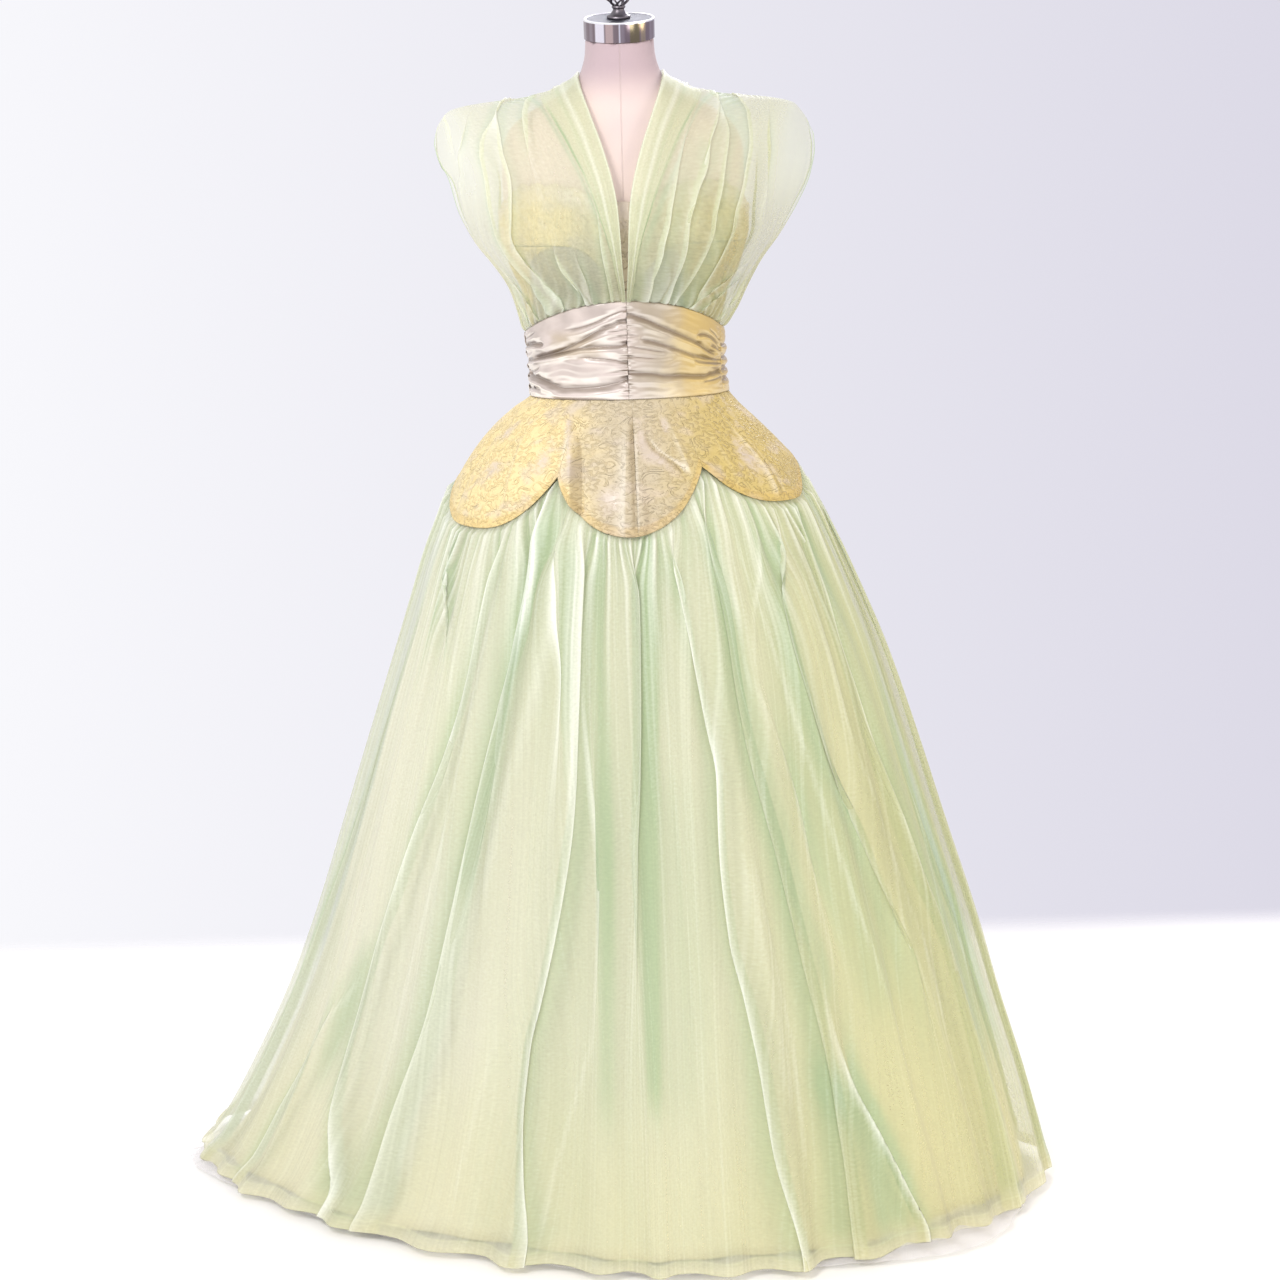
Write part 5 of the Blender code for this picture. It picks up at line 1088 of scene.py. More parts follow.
def overlap_folds(key, place, folds, low_end, high_end, soft=1.0):
    """Cloth laid over itself along these lines: how far each place moves across, how far it stands
    out, how white the painted highlight on its crisp edge is and how deep the painted shadow on the cloth
    under that edge.  A fold fades out where its line stops short of the low or the high end, and soft widens
    its highlight."""
    across = np.zeros_like(key + place)
    lift, white, shade = across.copy(), across.copy(), across.copy()
    for line, face, width, rise, shine in folds:
        keys = [row[0] for row in line]
        low, high = min(keys), max(keys)
        fade = FOLD_FADE * (high - low)
        shown = np.ones_like(key)
        if low > low_end:
            shown = shown * smooth((key - low) / fade)
        if high < high_end:
            shown = shown * smooth((high - key) / fade)
        at = Table("key place", line).at(key).place - face * 0.5 * width
        share = face * (place - at) / width
        pull = share * np.exp(-0.5 * share ** 2) * shown
        across -= OVERLAP_PULL * face * width * pull
        lift -= OVERLAP_RISE * rise * pull / 0.53
        lift += 0.40 * OVERLAP_RISE * rise * shown * np.exp(-0.5 * (share / 1.6) ** 2)
        inward = -0.62 - share
        white += shine * shown * bump(inward, np.where(inward > 0.0, 0.50, 0.22) * soft)
        shade += shown * bump(np.maximum(share - 1.45, 0.0), 0.65) * (share > 0.6)
    return across, lift, white, shade


def crease_lift(share, along, folds):
    """Puffs of ruched satin between sharp creases, and how near each place is to a crease, for painted shade
    in the creases.
    """
    lift = np.zeros_like(share + along)
    near = np.zeros_like(lift)
    for line, depth, width, start, end in folds:
        at = Table("along share", line).at(along).share
        shown = smooth((along - start) / 0.06 + (1.0 if start == 0.0 else 0.0))
        shown = shown * smooth((end - along) / 0.10 + (1.0 if end == 1.0 else 0.0))
        gap = (share - at) / width
        lift -= depth * shown * tuck(gap, 1.0, 1.15)
        lift += 0.45 * depth * shown * bump(gap + 1.6, 1.1)
        near += shown * bump(gap, 0.35)
    return lift, np.clip(near, 0.0, 1.0)


def make_cummerbund(cloth):
    """Two ruched fronts drawn into the centre seam, and the ruched back."""
    back_end = LEFT_SEAM_TURN + 360.0
    pieces = (
        ("satin_front_left", LEFT_SEAM_TURN, 0.0, 0.0, 150, LEFT_FOLDS, "cummerbund_front_left", 0.205),
        ("satin_front_right", 0.0, RIGHT_SEAM_TURN, 0.0, 130, RIGHT_FOLDS, "cummerbund_front_right", 0.165),
        ("satin_back", RIGHT_SEAM_TURN, back_end, 180.0, 160, BACK_FOLDS, "cummerbund_back", 0.40),
    )
    share = np.linspace(0.0, 1.0, 92)[:, None]
    edges = smooth(share / 0.035) * smooth((1.0 - share) / 0.035)
    full = RUCHE_FULLNESS * np.sin(math.pi * share) ** 0.5
    for name, start, end, middle, columns, folds, node, width in pieces:
        reach = max(abs(start - middle), abs(end - middle))
        turns = np.linspace(start, end, columns)[None, :]
        along = np.abs(turns - middle) / reach
        from_side = (1.0 - along) * reach
        gathered = bump(from_side, 7.0)
        lift, near = crease_lift(share, along, folds)
        wander = 2.2 * np.sin(along * 9.0) + 1.1 * np.sin(along * 23.0 + 1.0)
        patchy = 0.35 + 0.65 * np.sin(along * 7.0 + share * 5.0) ** 2
        tiny = 0.00020 * np.sin(share * 80.0 + wander) * patchy
        pucker = 0.0004 * np.cos(share * 92.0 + 1.0 + 1.2 * np.sin(share * 13.0)) * gathered
        seam = 0.0
        if middle == 0.0:
            pucker = pucker + 0.0011 * np.cos(share * 105.0 + 1.4 * np.sin(share * 17.0)) * bump(along, 0.045)
            seam = bump(along, 0.014)
        total = full + (lift + tiny + pucker) * edges * (0.12 + 0.88 * smooth(from_side / 2.6))
        total = np.maximum(total + 0.0010 - 0.0012 * gathered - 0.0007 * seam, -0.0006)
        z = blend(YOKE_SEAM - 0.0012, waist_seam(turns), share)
        # painted light and shade: tilt is how far the satin turns up or down, crease is nearness to a crease
        slope = -np.gradient(total, axis=0) / np.gradient(z, axis=0)
        piece = lay_cloth(name, garment_point(z, turns, total), cloth, SATIN_WALL,
                          crease=near, tilt=np.clip(1.05 * slope, -1.0, 1.0))
        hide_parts(node)


def make_hook(look):
    """Small dark hook that closes the cummerbund's folded end at the viewer's left."""
    at = garment_point(YOKE_SEAM + 0.0120, LEFT_SEAM_TURN + 19.5, 0.0030)
    bpy.ops.mesh.primitive_torus_add(major_segments=24, minor_segments=8, major_radius=HOOK_RING,
                                     minor_radius=HOOK_WIRE, location=at,
                                     rotation=(math.radians(90.0), 0.0, 0.0))
    ring = bpy.context.active_object
    bpy.ops.mesh.primitive_cylinder_add(vertices=12, radius=HOOK_WIRE, depth=HOOK_SHANK,
                                        location=at + np.array([0.0042, -0.0004, 0.0004]),
                                        rotation=(0.0, math.radians(86.0), math.radians(-14.0)))
    join([ring, bpy.context.active_object])
    finish_rigid(ring, "closing_hook", look, None)


def make_yoke(cloth):
    """Stiff hip yoke, five pieces of lace on satin, corded along the scallops."""
    pieces = (
        ("lace_side_left", YOKE_LEFT, YOKE_FRONT_LEFT, 112, "yoke_side_left", (0.30, 0.17), 0.030),
        ("lace_front_left", YOKE_FRONT_LEFT, YOKE_FRONT, 60, "yoke_front_left", (0.115, 0.19), 0.0150),
        ("lace_front_right", YOKE_FRONT, YOKE_FRONT_RIGHT, 58, "yoke_front_right", (0.105, 0.19), 0.0125),
        ("lace_side_right", YOKE_FRONT_RIGHT, YOKE_RIGHT, 112, "yoke_side_right", (0.27, 0.15), 0.0245),
        ("lace_back", YOKE_RIGHT, YOKE_ROUND, 190, "yoke_back", (0.66, 0.20), 0.078),
    )
    share = np.linspace(0.0, 1.0, 54)[:, None] ** 1.25
    for name, start, end, columns, node, flat, area in pieces:
        turns = np.linspace(start, end, columns)[None, :]
        edge = yoke_edge(turns)
        z = blend(edge, YOKE_SEAM - 2.0 * SEAM, share)
        drop = z - edge
        cord = 0.0007 * bump(drop - 0.0020, 0.0014) - 0.0004 * bump(drop - 0.0105, 0.0016)
        low = smooth((YOKE_SEAM - z) / 0.06)
        sway = 0.0010 * np.sin(np.radians(turns * 9.0) + z * 40.0) * low
        for line, wide, rise in YOKE_CREASES:
            shown = line_shown(z, line, (0.012, 0.020), (0.012, 0.020))
            sway = sway + rise * low * shown * tuck(line_gap(z, turns, line), wide, 1.4)
        bare = np.zeros_like(z)
        for at, height, wide, tall, lean in YOKE_WINDOWS:
            gap = turn_gap(turns, at) - lean * (z - height)
            bare = bare + bump(gap, wide) * bump(z - height, tall)
        bare = np.clip(bare, 0.0, 1.0) * 0.85 * smooth((drop - 0.010) / 0.006)
        rim = smooth((0.0125 - drop) / 0.0030)
        reach = FAN_RADIUS + (YOKE_SEAM - z) * FAN_LENGTH
        around = np.radians(turns) * FAN_SPREAD
        places = np.stack(np.broadcast_arrays(reach * np.sin(around) + 0.3, 0.5 - reach * np.cos(around)), -1)
        total = yoke_lift(z, turns) + cord + sway
        # tilt: the flutes' slope round the yoke, for painted light and shade in the lace
        step = np.radians(turns[0, 1] - turns[0, 0]) * YOKE_RADIUS
        tilt = np.clip(0.9 * np.gradient(total, axis=1) / step, -1.0, 1.0)
        piece = lay_cloth(name, garment_point(z, turns, total), cloth, YOKE_WALL, places=places, bare=bare,
                          rim=rim, tilt=tilt)
        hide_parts(node)


def gather_waves(turn, drop):
    """Small gathers sprung from under the yoke, which join into fewer and softer ones as they
    fall: their height, and how near each place is to a crest and to a hollow, for the painted highlight on
    the crests and the painted shade in the hollows."""
    wander = 1.3 * ripple(turn, 7.0) + 0.9 * ripple(turn, 13.0, 40.0)
    fine = np.radians(turn * 165.0) + 4.6 * wander + 1.6 * np.sin(drop * 9.0 + np.radians(turn * 5.0))
    mid = np.radians(turn * 74.0) + 3.2 * wander + 1.6 * np.sin(drop * 5.0 + np.radians(turn * 3.0))
    broad = np.radians(turn * 31.0) + 1.6 * wander + 1.3 * np.sin(drop * 3.0 + np.radians(turn * 4.0))
    patchy = 0.45 + 0.55 * smooth(0.5 + ripple(turn, 17.0, 30.0) * ripple(turn, 5.0))
    reach = 0.065 * (1.0 + 0.5 * ripple(turn, 11.0))
    start = smooth(drop / 0.010)
    lift = start * (0.0025 * patchy * np.exp(-drop / reach) * np.cos(fine)
                    + 0.0028 * (0.16 + 0.84 * np.exp(-drop / 0.14)) * np.cos(mid)
                    + 0.0024 * (0.45 + 0.55 * np.exp(-drop / 0.50)) * np.cos(broad))
    crest = 1.1 * patchy * swell(fine) ** 2 * np.exp(-drop / (1.3 * reach))
    crest = crest + 0.8 * swell(mid) ** 3 * (0.12 + np.exp(-drop / 0.13))
    hollow = (1.0 - swell(mid)) ** 2 * np.exp(-drop / 0.12)
    hollow = hollow + 1.3 * patchy * (1.0 - swell(fine)) ** 2 * np.exp(-drop / reach)
    return lift, crest * start, hollow * start


def skirt_tone(z, turn):
    """Soft lit ridges with a painted highlight and greener stretches with painted shade: how far out, how
    white, how green.
    """
    lift = np.zeros_like(z + turn)
    white, green = lift.copy(), lift.copy()
    for line, width, shine, rise in SOFT_RIDGES:
        shown = line_shown(z, line, (0.02, 0.06), (0.02, 0.06))
        gap = line_gap(z, turn, line)
        lift += rise * shown * bump(gap, width)
        white += shine * shown * bump(gap, 0.8 * width)
    for line, width, strength in GREEN_BANDS:
        shown = line_shown(z, line, (0.04, 0.08), (0.06, 0.10))
        green += strength * shown * tuck(line_gap(z, turn, line), width, 3.0)
    return lift, white, green


def make_skirt(cloth):
    """Sheer outer skirt, a front and a back panel, gathered under the yoke, with a turned hem."""
    share = np.linspace(0.0, 1.0, 82)[:, None]
    for name, node, start in (("sheer_front", "skirt_front", -90.0), ("sheer_back", "skirt_back", 90.0)):
        flat = np.linspace(start + SKIRT_EDGE, start + (180.0 - SKIRT_EDGE), 760)[None, :]
        edge = yoke_edge(flat)
        hem = HEM + np.array(HEM_ROWS)[:, None] + 0.0 * flat
        z = np.concatenate([hem, blend(HEM + 0.0370, edge + 0.012, share)])
        drop = edge - z
        below = smooth(drop / 0.070)
        ends = smooth((90.0 - np.abs(turn_gap(flat, start + 90.0))) / 6.0)
        across, fold, white, shade = overlap_folds(z, flat, OVERLAPS, 0.03, 0.85)
        turn = flat + across * ends * below
        gather, crest, pleat = gather_waves(flat, np.maximum(drop, 0.0))
        soft, light, green = skirt_tone(z, turn)
        body = fold_lift(z, turn)
        tucked = smooth((0.004 - drop) / 0.006)
        hem_wave = 0.0014 * ripple(flat, 21.0) * bump(z - HEM, 0.030)
        total = blend(0.85 * body + gather + fold * ends * below + soft + 0.0015 + hem_wave, -0.0036, tucked)
        total = np.maximum(total, underskirt_lift(z, turn) + 0.0045)
        wavy = 0.0020 * (1.0 + ripple(flat, 14.0, 50.0) * ripple(flat, 5.0))
        outer = garment_point(z + wavy * bump(z - HEM, 0.040), turn, total)
        inner_z = np.array([TURNED_UP, 0.5 * TURNED_UP, 0.0012])[:, None] + HEM + wavy
        inner = garment_point(inner_z, turn[:1], total[:1] - 0.0008)
        # painted highlight: the gathers' crests, the crisp fold edges and the soft lit ridges
        ridge = 0.60 * crest + 0.95 * white * below + 0.60 * light
        line = 0.25 * bump(z - HEM - TURNED_UP, 0.0013) + 0.40 * bump(z - HEM, 0.0013)
        # painted shade: valleys between the long folds, hollows between gathers, the greener stretches and
        # the shadow under each fold edge; line marks the turned hem, where the cloth lies double
        depth = 0.14 * smooth(0.35 - 16.0 * body) + 0.42 * pleat + 0.90 * green + 0.60 * shade * below + line
        none = np.zeros((3, flat.shape[1]))
        tones = {label: np.concatenate([none, np.clip(tone, 0.0, 1.0)])
                 for label, tone in (("ridge", ridge), ("depth", depth), ("doubled", 0.5 * line))}
        rise = np.concatenate([HEM - inner_z, z])
        places = np.stack(np.broadcast_arrays(np.radians(flat) * 0.40, rise), -1)
        piece = lay_cloth(name, np.concatenate([inner, outer]), cloth, places=places, **tones)
        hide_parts(node)


def underskirt_lift(z, turn):
    """How far the underskirt lies inside the skirt's plain surface, with its broad waves."""
    drop = smooth((0.86 - z) / 0.5)
    waves = 0.005 * drop * np.cos(np.radians(9.0 * turn + 25.0))
    return -0.0150 - 0.014 * drop + waves


def make_underskirt(cloth):
    """Taffeta underskirt, a front and a back panel."""
    share = np.linspace(0.0, 1.0, 50)[:, None]
    for name, node, start in (("taffeta_front", "underskirt_front", -90.0),
                              ("taffeta_back", "underskirt_back", 90.0)):
        turns = np.linspace(start + UNDERSKIRT_EDGE, start + (180.0 - UNDERSKIRT_EDGE), 150)[None, :]
        top = yoke_edge(turns) + 0.010
        z = blend(UNDERSKIRT_FOOT, top, share)
        gathers = 0.0016 * np.cos(np.radians(turns * 46.0)) * smooth((z - 0.72) / 0.12)
        creases = 0.0022 * np.sin(np.radians(turns * 31.0) + 3.0 * np.sin(z * 9.0 + np.radians(turns * 3.0)))
        lift = underskirt_lift(z, turns) + gathers + creases * smooth((0.80 - z) / 0.2)
        lift = blend(lift, -0.0075, smooth((z - top + 0.03) / 0.025))
        piece = lay_cloth(name, garment_point(z, turns, lift), cloth, TAFFETA_WALL)
        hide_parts(node)


def make_flounce(veil):
    """Net flounce that lies out on the floor under the hem, and stands up inside the skirt."""
    turns = np.linspace(-180.0, 180.0, 480, endpoint=False)[None, :]
    share = np.linspace(0.0, 1.0, 22)[:, None]
    reach = -0.012 + sum(rise * bump(turn_gap(turns, at), width) for at, rise, width in NET_PEEPS)
    ruffle = np.cos(np.radians(turns * 62.0) + 2.0 * ripple(turns, 9.0))
    z = blend(NET_FOOT, NET_TOP, share ** 1.6)
    seat = underskirt_lift(z, turns) - 0.0060
    lift = blend(reach, seat, smooth(share / 0.35)) + 0.003 * ruffle * (1.0 - share)
    lift = lift - 0.035 * smooth((share - 0.03) / 0.2) * (1.0 - smooth((share - 0.5) / 0.5))
    points = garment_point(z + 0.0022 * (ruffle + 1.0) * bump(share, 0.2), turns, lift)
    piece = lay_cloth("net_ruffle", points, veil, closed=True)
    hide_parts("net_flounce")


def bodice_point(level, side, share, is_front):
    """Plain surface of the bodice: side is -1 for the viewer's left and 1 for the right, and share
    runs from the neckline or the centre back to the side seam or the sleeve's edge."""
    row = BODICE.at(level)
    half = row.right if side > 0 else row.left
    neck = row.neck if is_front else 0.0
    end = np.radians(row.end)
    exponent = 2.0 / row.round
    turn = blend(np.arcsin(np.sin(end) * (neck / half) ** (1.0 / exponent)), end, share)
    x = half * (np.sin(turn) / np.sin(end)) ** exponent
    depth = row.front if is_front else row.back
    y = depth * np.maximum(np.cos(turn), 0.0) ** exponent + SEAM
    if not is_front:
        y = np.maximum(y, np.sqrt(np.maximum(NECK_REACH ** 2 - x ** 2, 0.0)))
    rise = row.rise if is_front else row.rise_back
    seam = waist_seam(np.degrees(turn) if is_front else 180.0) + 3.0 * SEAM
    z = row.z + rise * (SHOULDER.at(x).z - SHOULDER_REST) + row.waist * (seam - WAIST_REST)
    point = np.stack(np.broadcast_arrays(side * x, -y if is_front else y, z), -1)
    around = np.clip(np.degrees(turn), 0.12, 89.88)
    around = side * (around if is_front else 180.0 - around)
    low = garment_point(seam, around, -0.0005)
    return np.where((level < 1.0)[..., None], low + (point - low) * level[..., None], point)


def bodice_sheet(side, gathers, is_front, columns, rows):
    """One half of the sheer bodice with its gathers: points, flat places and painted values."""
    level = np.linspace(0.0, TOP_LEVEL, rows)[:, None]
    flat = np.linspace(0.0, 1.0, columns)[None, :] + 0.0 * level
    wider = [(line, face, 1.12 * width, rise, 0.90 * shine) for line, face, width, rise, shine in gathers]
    across, fold, white, shade = overlap_folds(level, flat, wider, 0.5, 10.5, 1.5)
    inside = smooth(flat / 0.05) * smooth((1.0 - flat) / 0.07)
    ends = smooth(level / 0.8) * smooth((TOP_LEVEL - level) / 0.8)
    share = np.clip(flat + across * inside * ends, 0.0, 1.0)
    wander = 1.5 * np.sin(flat * 21.0) + 0.8 * np.sin(flat * 47.0)
    low_tuck = np.cos(flat * 2.0 * math.pi * 24.0 + wander)
    high_tuck = np.cos(flat * 2.0 * math.pi * 40.0 + wander) * bump(flat - 0.30, 0.20)
    low = np.exp(-np.maximum(level - 0.4, 0.0) / 1.3)
    high = np.exp(-np.maximum(TOP_LEVEL - 0.4 - level, 0.0)) * smooth((TOP_LEVEL - level) / 0.5)
    soft = 0.0012 * np.cos(flat * 2.0 * math.pi * 7.0 + wander) * smooth((9.0 - level) / 5.0)
    height = 0.0026 + fold * ends + soft + 0.0015 * low * low_tuck + 0.0011 * high * high_tuck
    roll = smooth((flat - 0.985) / 0.005) * smooth((level - 3.6) / 0.5)
    height = height * inside * smooth((level + 0.12) / 0.8) + 0.0008 * roll
    plain = bodice_point(level, side, share, is_front)
    if (side < 0) == is_front:
        plain, height, flat, inside, white, shade, roll, low_tuck, high_tuck = (
            part[:, ::-1] for part in (plain, height, flat, inside, white, shade, roll, low_tuck, high_tuck))
    points = plain + grid_normals(bodice_point(level, side, flat, is_front)) * height[..., None]
    # painted highlight on the gathers' crisp edges and on the crests of the small tucks
    ridge = 0.80 * white * inside + 0.40 * low * (0.5 + 0.5 * low_tuck) ** 3
    ridge = ridge + 0.35 * high * (0.5 + 0.5 * high_tuck) ** 3 * inside
    seam = bump(TOP_LEVEL - level, 0.10)
    # painted shade under each gather's edge, and greener low towards the waist; the rolled sleeve edge and
    # the shoulder seam lie double
    depth = 0.50 * shade * inside + 0.16 * smooth((4.0 - level) / 3.5) + 1.05 * roll + 0.6 * seam
    if is_front:
        # painted shadow on the bodice beside the band
        beside_band = bump(flat - BAND_SHARE.at(level).share - 0.014, 0.014)
        depth = depth + 0.7 * beside_band * smooth((level - 2.5) / 2.0)
    sleeve = smooth((flat - 0.66) / 0.12) * smooth((level - 4.0) / 3.0) * (1.0 - 0.9 * np.maximum(roll, seam))
    length = 0.30 * level / TOP_LEVEL
    return {
        "points": points, "places": np.stack([0.22 * flat * side, length + 0.0 * flat], -1),
        "ridge": np.clip(ridge, 0.0, 1.0), "depth": np.clip(depth, 0.0, 1.0),
        "doubled": np.clip(0.8 * roll + seam, 0.0, 1.0), "sleeve": sleeve}


def make_bodice_front(cloth, band_cloth):
    """Sheer front halves cut in one with the cap sleeves, and the folded bands along the V."""
    for side, word, gathers in ((-1, "left", LEFT_GATHERS), (1, "right", RIGHT_GATHERS)):
        half = bodice_sheet(side, gathers, True, 290, 120)
        piece = lay_cloth("sheer_bodice_" + word, half.pop("points"), cloth, **half)
        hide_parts("bodice_front_" + word)
        make_band(band_cloth, side, word)


def make_band(cloth, side, word):
    """Folded neckline band: soft lengthwise folds, and an edge that turns round the neckline, with a painted
    highlight on its middle fold and by the neckline and painted shade along its outer edge and beside the
    middle fold.
    """
    level = np.linspace(0.0, TOP_LEVEL, 110)[:, None]
    across = np.linspace(-0.10, 1.0, 48)[None, :] + 0.0 * level
    hidden = across < 0.0
    plain = bodice_point(level, side, np.abs(across) * BAND_SHARE.at(level).share, True)
    fullness = smooth(level / 2.0) * smooth((11.4 - level) / 1.5)
    middle = 0.50 + 0.10 * np.sin(level * 0.5)
    fold = 0.0020 * tuck(across - middle, 0.16, 1.5)
    fold = fold + 0.0012 * tuck(across - 0.22 - 0.015 * level, 0.07, 1.5)
    fold = fold + 0.0014 * tuck(across - 0.88, 0.09, 1.5)
    lift = np.where(hidden, 0.0006, 0.0018 + fold * (0.30 + 0.70 * fullness))
    lift = lift * smooth((1.02 - across) / 0.06) + 0.0008
    # painted shade along the outer edge and beside the middle fold
    edge = bump(across - 0.95, 0.045)
    deep = 0.10 + 0.95 * edge * smooth((level - 1.0) / 2.0) * smooth((10.0 - level) / 3.0)
    deep = deep + 0.30 * bump(across - middle - 0.16, 0.06) * fullness
    # painted highlight on the middle fold and by the neckline
    bright = 0.45 * bump(across - middle, 0.07) * fullness + 0.5 * bump(across - 0.03, 0.05)
    if side < 0:
        plain, lift, deep, bright, hidden = (part[:, ::-1] for part in (plain, lift, deep, bright, hidden))
    points = plain + grid_normals(plain) * lift[..., None]
    points = np.where(hidden[..., None], plain + np.array([0.0, 0.0012, 0.0]), points)
    piece = lay_cloth("sheer_band_" + word, points, cloth, ridge=np.clip(bright, 0.0, 1.0),
                      depth=np.clip(deep, 0.0, 1.0), doubled=0.35, sleeve=0.0)
    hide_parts("neckline_band_" + word)


def make_bodice_back(cloth):
    """Sheer back in one piece, cut in one with the back of both cap sleeves."""
    right = bodice_sheet(1, BACK_GATHERS, False, 170, 94)
    left = bodice_sheet(-1, BACK_GATHERS, False, 170, 94)
    whole = {label: np.concatenate([part, left[label][:, 1:]], axis=1) for label, part in right.items()}
    piece = lay_cloth("sheer_bodice_back", whole.pop("points"), cloth, **whole)
    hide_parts("bodice_back")


def choose(pieces):
    """Makes these the only chosen pieces, the first of them active."""
    bpy.ops.object.select_all(action="DESELECT")
    for piece in pieces:
        piece.select_set(True)
    bpy.context.view_layer.objects.active = pieces[0]


def join(pieces):
    """Makes one piece of several, in the first one."""
    choose(pieces)
    bpy.ops.object.join()


def edit_mesh(action):
    """Edit mode, with all or nothing of the active piece's mesh chosen."""
    bpy.ops.object.mode_set(mode="EDIT")
    bpy.ops.mesh.select_all(action=action)


def finish_rigid(piece, name, look, node):
    """Names a modelled piece, puts its place into its mesh and lets it stand for its node."""
    piece.name = name
    choose([piece])
    bpy.ops.object.transform_apply(location=True, rotation=True, scale=True)
    bpy.ops.object.shade_smooth_by_angle(angle=math.radians(35.0))
    piece.data.materials.clear()
    piece.data.materials.append(look)
    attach(piece, "root")
    if node:
        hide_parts(node)


def make_form(look):
    """The padded torso, its panels smoothed to one soft skin."""
    mesh = bpy.data.meshes.new("padded_torso")
    work = bmesh.new()
    work.from_mesh(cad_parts["form_torso"].data)
    bmesh.ops.remove_doubles(work, verts=work.verts, dist=0.00005)
    work.to_mesh(mesh)
    work.free()
    torso = bpy.data.objects.new("padded_torso", mesh)
    scene.collection.objects.link(torso)
    soften = torso.modifiers.new("soften", "SUBSURF")
    soften.levels = soften.render_levels = 2
    choose([torso])
    bpy.ops.object.modifier_apply(modifier="soften")
    finish_rigid(torso, "padded_torso", look, "form_torso")


def tipped(height):
    """Place on the neck's slanted axis, this far above the middle of its top."""
    return Vector((0.0, -height * math.sin(NECK_TILT), NECK_CENTRE + height * math.cos(NECK_TILT)))


def make_neck_cap(look):
    """Flat polished cap with a bright rounded rim."""
    bpy.ops.mesh.primitive_cylinder_add(
        vertices=128, radius=CAP_RADIUS, depth=CAP_HEIGHT, location=tipped(CAP_HEIGHT * 0.5 + SEAM),
        rotation=(NECK_TILT, 0.0, 0.0))
    cap = bpy.context.active_object
    edit_mesh("DESELECT")
    bpy.ops.object.mode_set(mode="OBJECT")
    for face in cap.data.polygons:
        face.select = face.normal.z > 0.9
    bpy.ops.object.mode_set(mode="EDIT")
    bpy.ops.mesh.select_mode(type="FACE")
    for width, depth in ((CAP_RIM, 0.0), (0.0006, -0.0006), (0.0250, 0.0)):
        bpy.ops.mesh.inset(thickness=width, depth=depth)
    bpy.ops.object.mode_set(mode="OBJECT")
    round_off = cap.modifiers.new("rim", "BEVEL")
    round_off.width = 0.0010
    round_off.segments = 3
    round_off.limit_method = "ANGLE"
    bpy.ops.object.modifier_apply(modifier="rim")
    finish_rigid(cap, "polished_cap", look, "neck_cap")


def drawn_out(rings, vertices):
    """A closed piece drawn out from ring to ring, from the middle and radius of each."""
    first, first_radius = rings[0]
    bpy.ops.mesh.primitive_circle_add(vertices=vertices, radius=first_radius, fill_type="NGON",
                                      location=first)
    edit_mesh("SELECT")
    for (low, low_radius), (high, radius) in zip(rings, rings[1:]):
        bpy.ops.mesh.extrude_region_move(TRANSFORM_OT_translate={"value": tuple(high - low)})
        share = radius / low_radius
        if share != 1.0:
            bpy.ops.transform.resize(value=(share, share, 1.0), center_override=tuple(high))
    bpy.ops.mesh.select_all(action="SELECT")
    bpy.ops.mesh.normals_make_consistent(inside=False)
    bpy.ops.object.mode_set(mode="OBJECT")
    return bpy.context.active_object


def turned_piece(profile):
    """A piece turned on an upright axis, from its radius and height up its side."""
    return drawn_out([(Vector((0.0, 0.0, height)), radius) for radius, height in profile], 48)


def cage_bar():
    """One bar of the finial's cage, bowed out and turned part of the way round."""
    rings = []
    for share in np.linspace(0.0, 1.0, 21):
        angle = math.radians(CAGE_TWIST) * (share - 0.5)
        bow = CAGE_ENDS + CAGE_BOW * math.sin(math.pi * share) ** 0.85
        height = CAGE_FOOT + CAGE_HEIGHT * share
        rings.append((Vector((bow * math.cos(angle), bow * math.sin(angle), height)), BAR_RADIUS))
    bar = drawn_out(rings, 10)
    scene.cursor.location = (0.0, 0.0, 0.0)
    bpy.ops.object.origin_set(type="ORIGIN_CURSOR")
    return bar


def make_finial(look):
    """Foot, waist and a ball of twisted bars gathered into a small button."""
    foot = turned_piece(FINIAL_FOOT)
    button = turned_piece(FINIAL_BUTTON)
    bar = cage_bar()
    parts = [foot, button, bar]
    for turn in range(1, CAGE_BARS):
        copy = bar.copy()
        copy.data = bar.data.copy()
        copy.rotation_euler = (0.0, 0.0, 2.0 * math.pi * turn / CAGE_BARS)
        scene.collection.objects.link(copy)
        parts.append(copy)
    join(parts)
    foot.location = foot.location + tipped(CAP_HEIGHT + SEAM)
    foot.rotation_euler = (NECK_TILT, 0.0, 0.0)
    finish_rigid(foot, "caged_finial", look, "finial")


def make_stage():
    """Plain white floor that fades into the pale studio around it."""
    bpy.ops.mesh.primitive_circle_add(vertices=96, radius=FLOOR_RADIUS, fill_type="NGON")
    floor = bpy.context.active_object
    floor.name = "studio_floor"
    paint = Paint("studio_floor", Roughness=0.9, Specular_IOR_Level=0.1)
    x, y, _ = paint.parts(paint.body())
    reach = (abs(x) * 0.72).at_least(abs(y))
    floor.data.materials.append(paint.give(Base_Color=(0.93, 0.92, 0.90), Alpha=1.0 - reach.step(0.78, 0.96)))


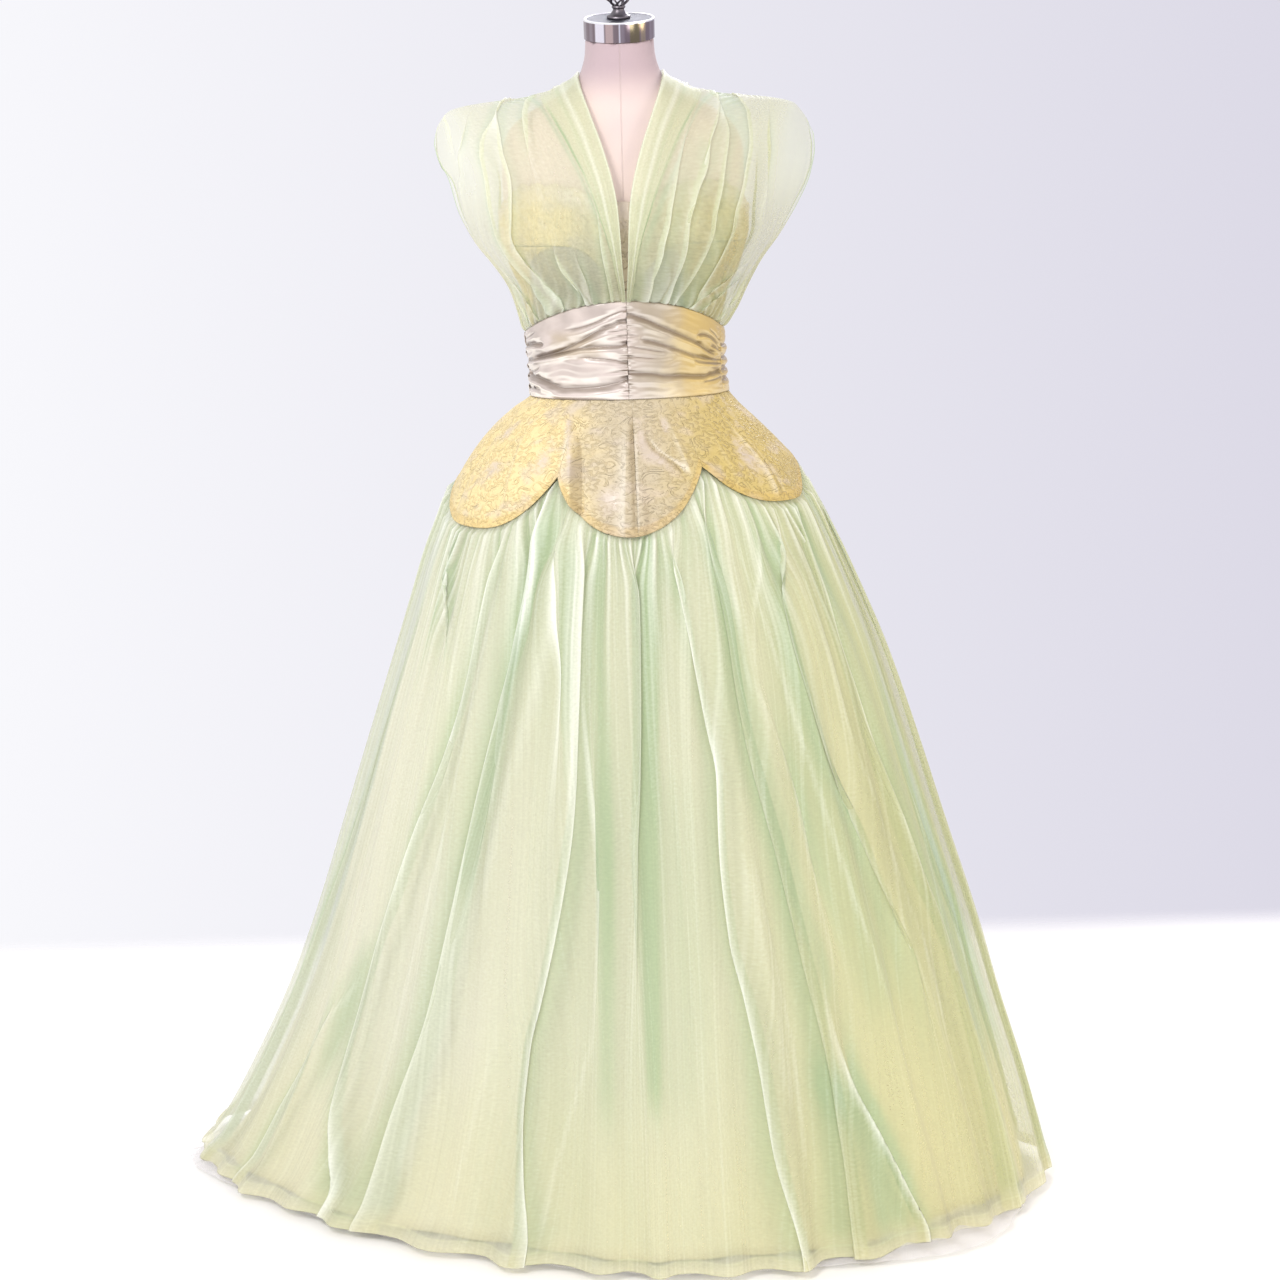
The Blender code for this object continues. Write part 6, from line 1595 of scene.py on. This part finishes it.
def make_camera():
    """Camera at the photograph's place: level with the bust, looking down, tipped a little."""
    forward = Vector((0.0, math.cos(PITCH), -math.sin(PITCH)))
    right = Vector((1.0, 0.0, 0.0))
    up = right.cross(forward)
    tipped_right = math.cos(ROLL) * right - math.sin(ROLL) * up
    tipped_up = math.sin(ROLL) * right + math.cos(ROLL) * up
    lens = bpy.data.cameras.new("camera")
    lens.sensor_width = 36.0
    lens.lens = lens.sensor_width * FOCAL_PIXELS / PHOTO_PIXELS
    camera = bpy.data.objects.new("camera", lens)
    scene.collection.objects.link(camera)
    place = Matrix((tipped_right, tipped_up, -forward)).transposed().to_4x4()
    place.translation = Vector(CAMERA_PLACE)
    camera.matrix_world = place
    scene.camera = camera


def make_light(name, place, aim, size, energy, colour):
    lamp = bpy.data.lights.new(name, "AREA")
    lamp.size = size
    lamp.energy = energy
    lamp.color = colour
    lamp_object = bpy.data.objects.new(name, lamp)
    scene.collection.objects.link(lamp_object)
    lamp_object.location = place
    lamp_object.rotation_euler = (Vector(aim) - Vector(place)).to_track_quat("-Z", "Y").to_euler()


def make_lights():
    """Pale lavender studio, brighter at the viewer's left, with soft lamps in front and behind."""
    world = bpy.data.worlds.new("studio")
    world.use_nodes = True
    tree = world.node_tree
    ramp = tree.nodes.new("ShaderNodeValToRGB")
    shades = ((0.34, (0.96, 0.96, 0.99, 1.0)), (0.66, (0.70, 0.68, 0.78, 1.0)))
    for element, (position, colour) in zip(ramp.color_ramp.elements, shades):
        element.position = position
        element.color = colour
    across = tree.nodes.new("ShaderNodeMapRange")
    across.inputs["From Min"].default_value = -1.0
    parts = tree.nodes.new("ShaderNodeSeparateXYZ")
    around = tree.nodes.new("ShaderNodeTexCoord")
    tree.links.new(around.outputs["Generated"], parts.inputs[0])
    tree.links.new(parts.outputs["X"], across.inputs["Value"])
    tree.links.new(across.outputs[0], ramp.inputs[0])
    tree.links.new(ramp.outputs[0], tree.nodes["Background"].inputs["Color"])
    scene.world = world
    for lamp in LAMPS:
        make_light(*lamp)
    scene.view_settings.view_transform = "Standard"


def main():
    make_camera()
    make_lights()
    make_stage()
    skirt_cloth = organza("sheer_green_skirt", opacity=0.42, reach=0.32, tones=SKIRT_TONES, green=DEEP_GREEN,
                          open_backlight=BACKLIT_GREEN, open_shade=BACKLIT_GREEN, open_opacity=0.42, streaky=0.42)
    bodice_cloth = organza("sheer_green_bodice", opacity=0.38, reach=0.16, tones=BODICE_TONES,
                           green=BODICE_GREEN, open_backlight=BACKLIT_GREEN, open_shade=SLEEVE_SHADE,
                           open_opacity=0.24, streaky=0.20)
    band_cloth = organza("sheer_green_band", opacity=0.38, reach=0.16, tones=BODICE_TONES, green=DEEP_GREEN,
                         open_backlight=BACKLIT_GREEN, open_shade=BACKLIT_GREEN, open_opacity=0.38, streaky=0.12)
    champagne = satin("champagne_satin", light=(0.64, 0.55, 0.50), deep=(0.47, 0.40, 0.36),
                      middle=(0.36, 0.30, 0.20), warm=(0.56, 0.40, 0.12), shadow=(0.13, 0.085, 0.05))
    midriff = lace("midriff_satin", (0.32, 0.28, 0.26))
    gold = lace("gold_lace", (0.66, 0.56, 0.47))
    iron = metal("finial_iron", (0.20, 0.18, 0.20), 0.30, (300.0, 300.0, 300.0), 0.9)
    enamel = metal("stand_enamel", (0.06, 0.06, 0.065), 0.38, (200.0, 200.0, 200.0), 0.4)
    chrome = metal("pole_steel", (0.62, 0.62, 0.64), 0.22, (400.0, 400.0, 30.0), 1.0)
    make_form(jersey())
    make_neck_cap(cap_steel())
    make_finial(iron)
    make_underbodice(gold, midriff)
    make_bodice_front(bodice_cloth, band_cloth)
    make_bodice_back(bodice_cloth)
    make_cummerbund(champagne)
    make_hook(iron)
    make_yoke(gold)
    make_skirt(skirt_cloth)
    make_underskirt(taffeta())
    make_flounce(net())
    for node, look in (("stand_base", enamel), ("stand_pole", chrome)):
        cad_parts[node].material_slots[0].material = look


main()
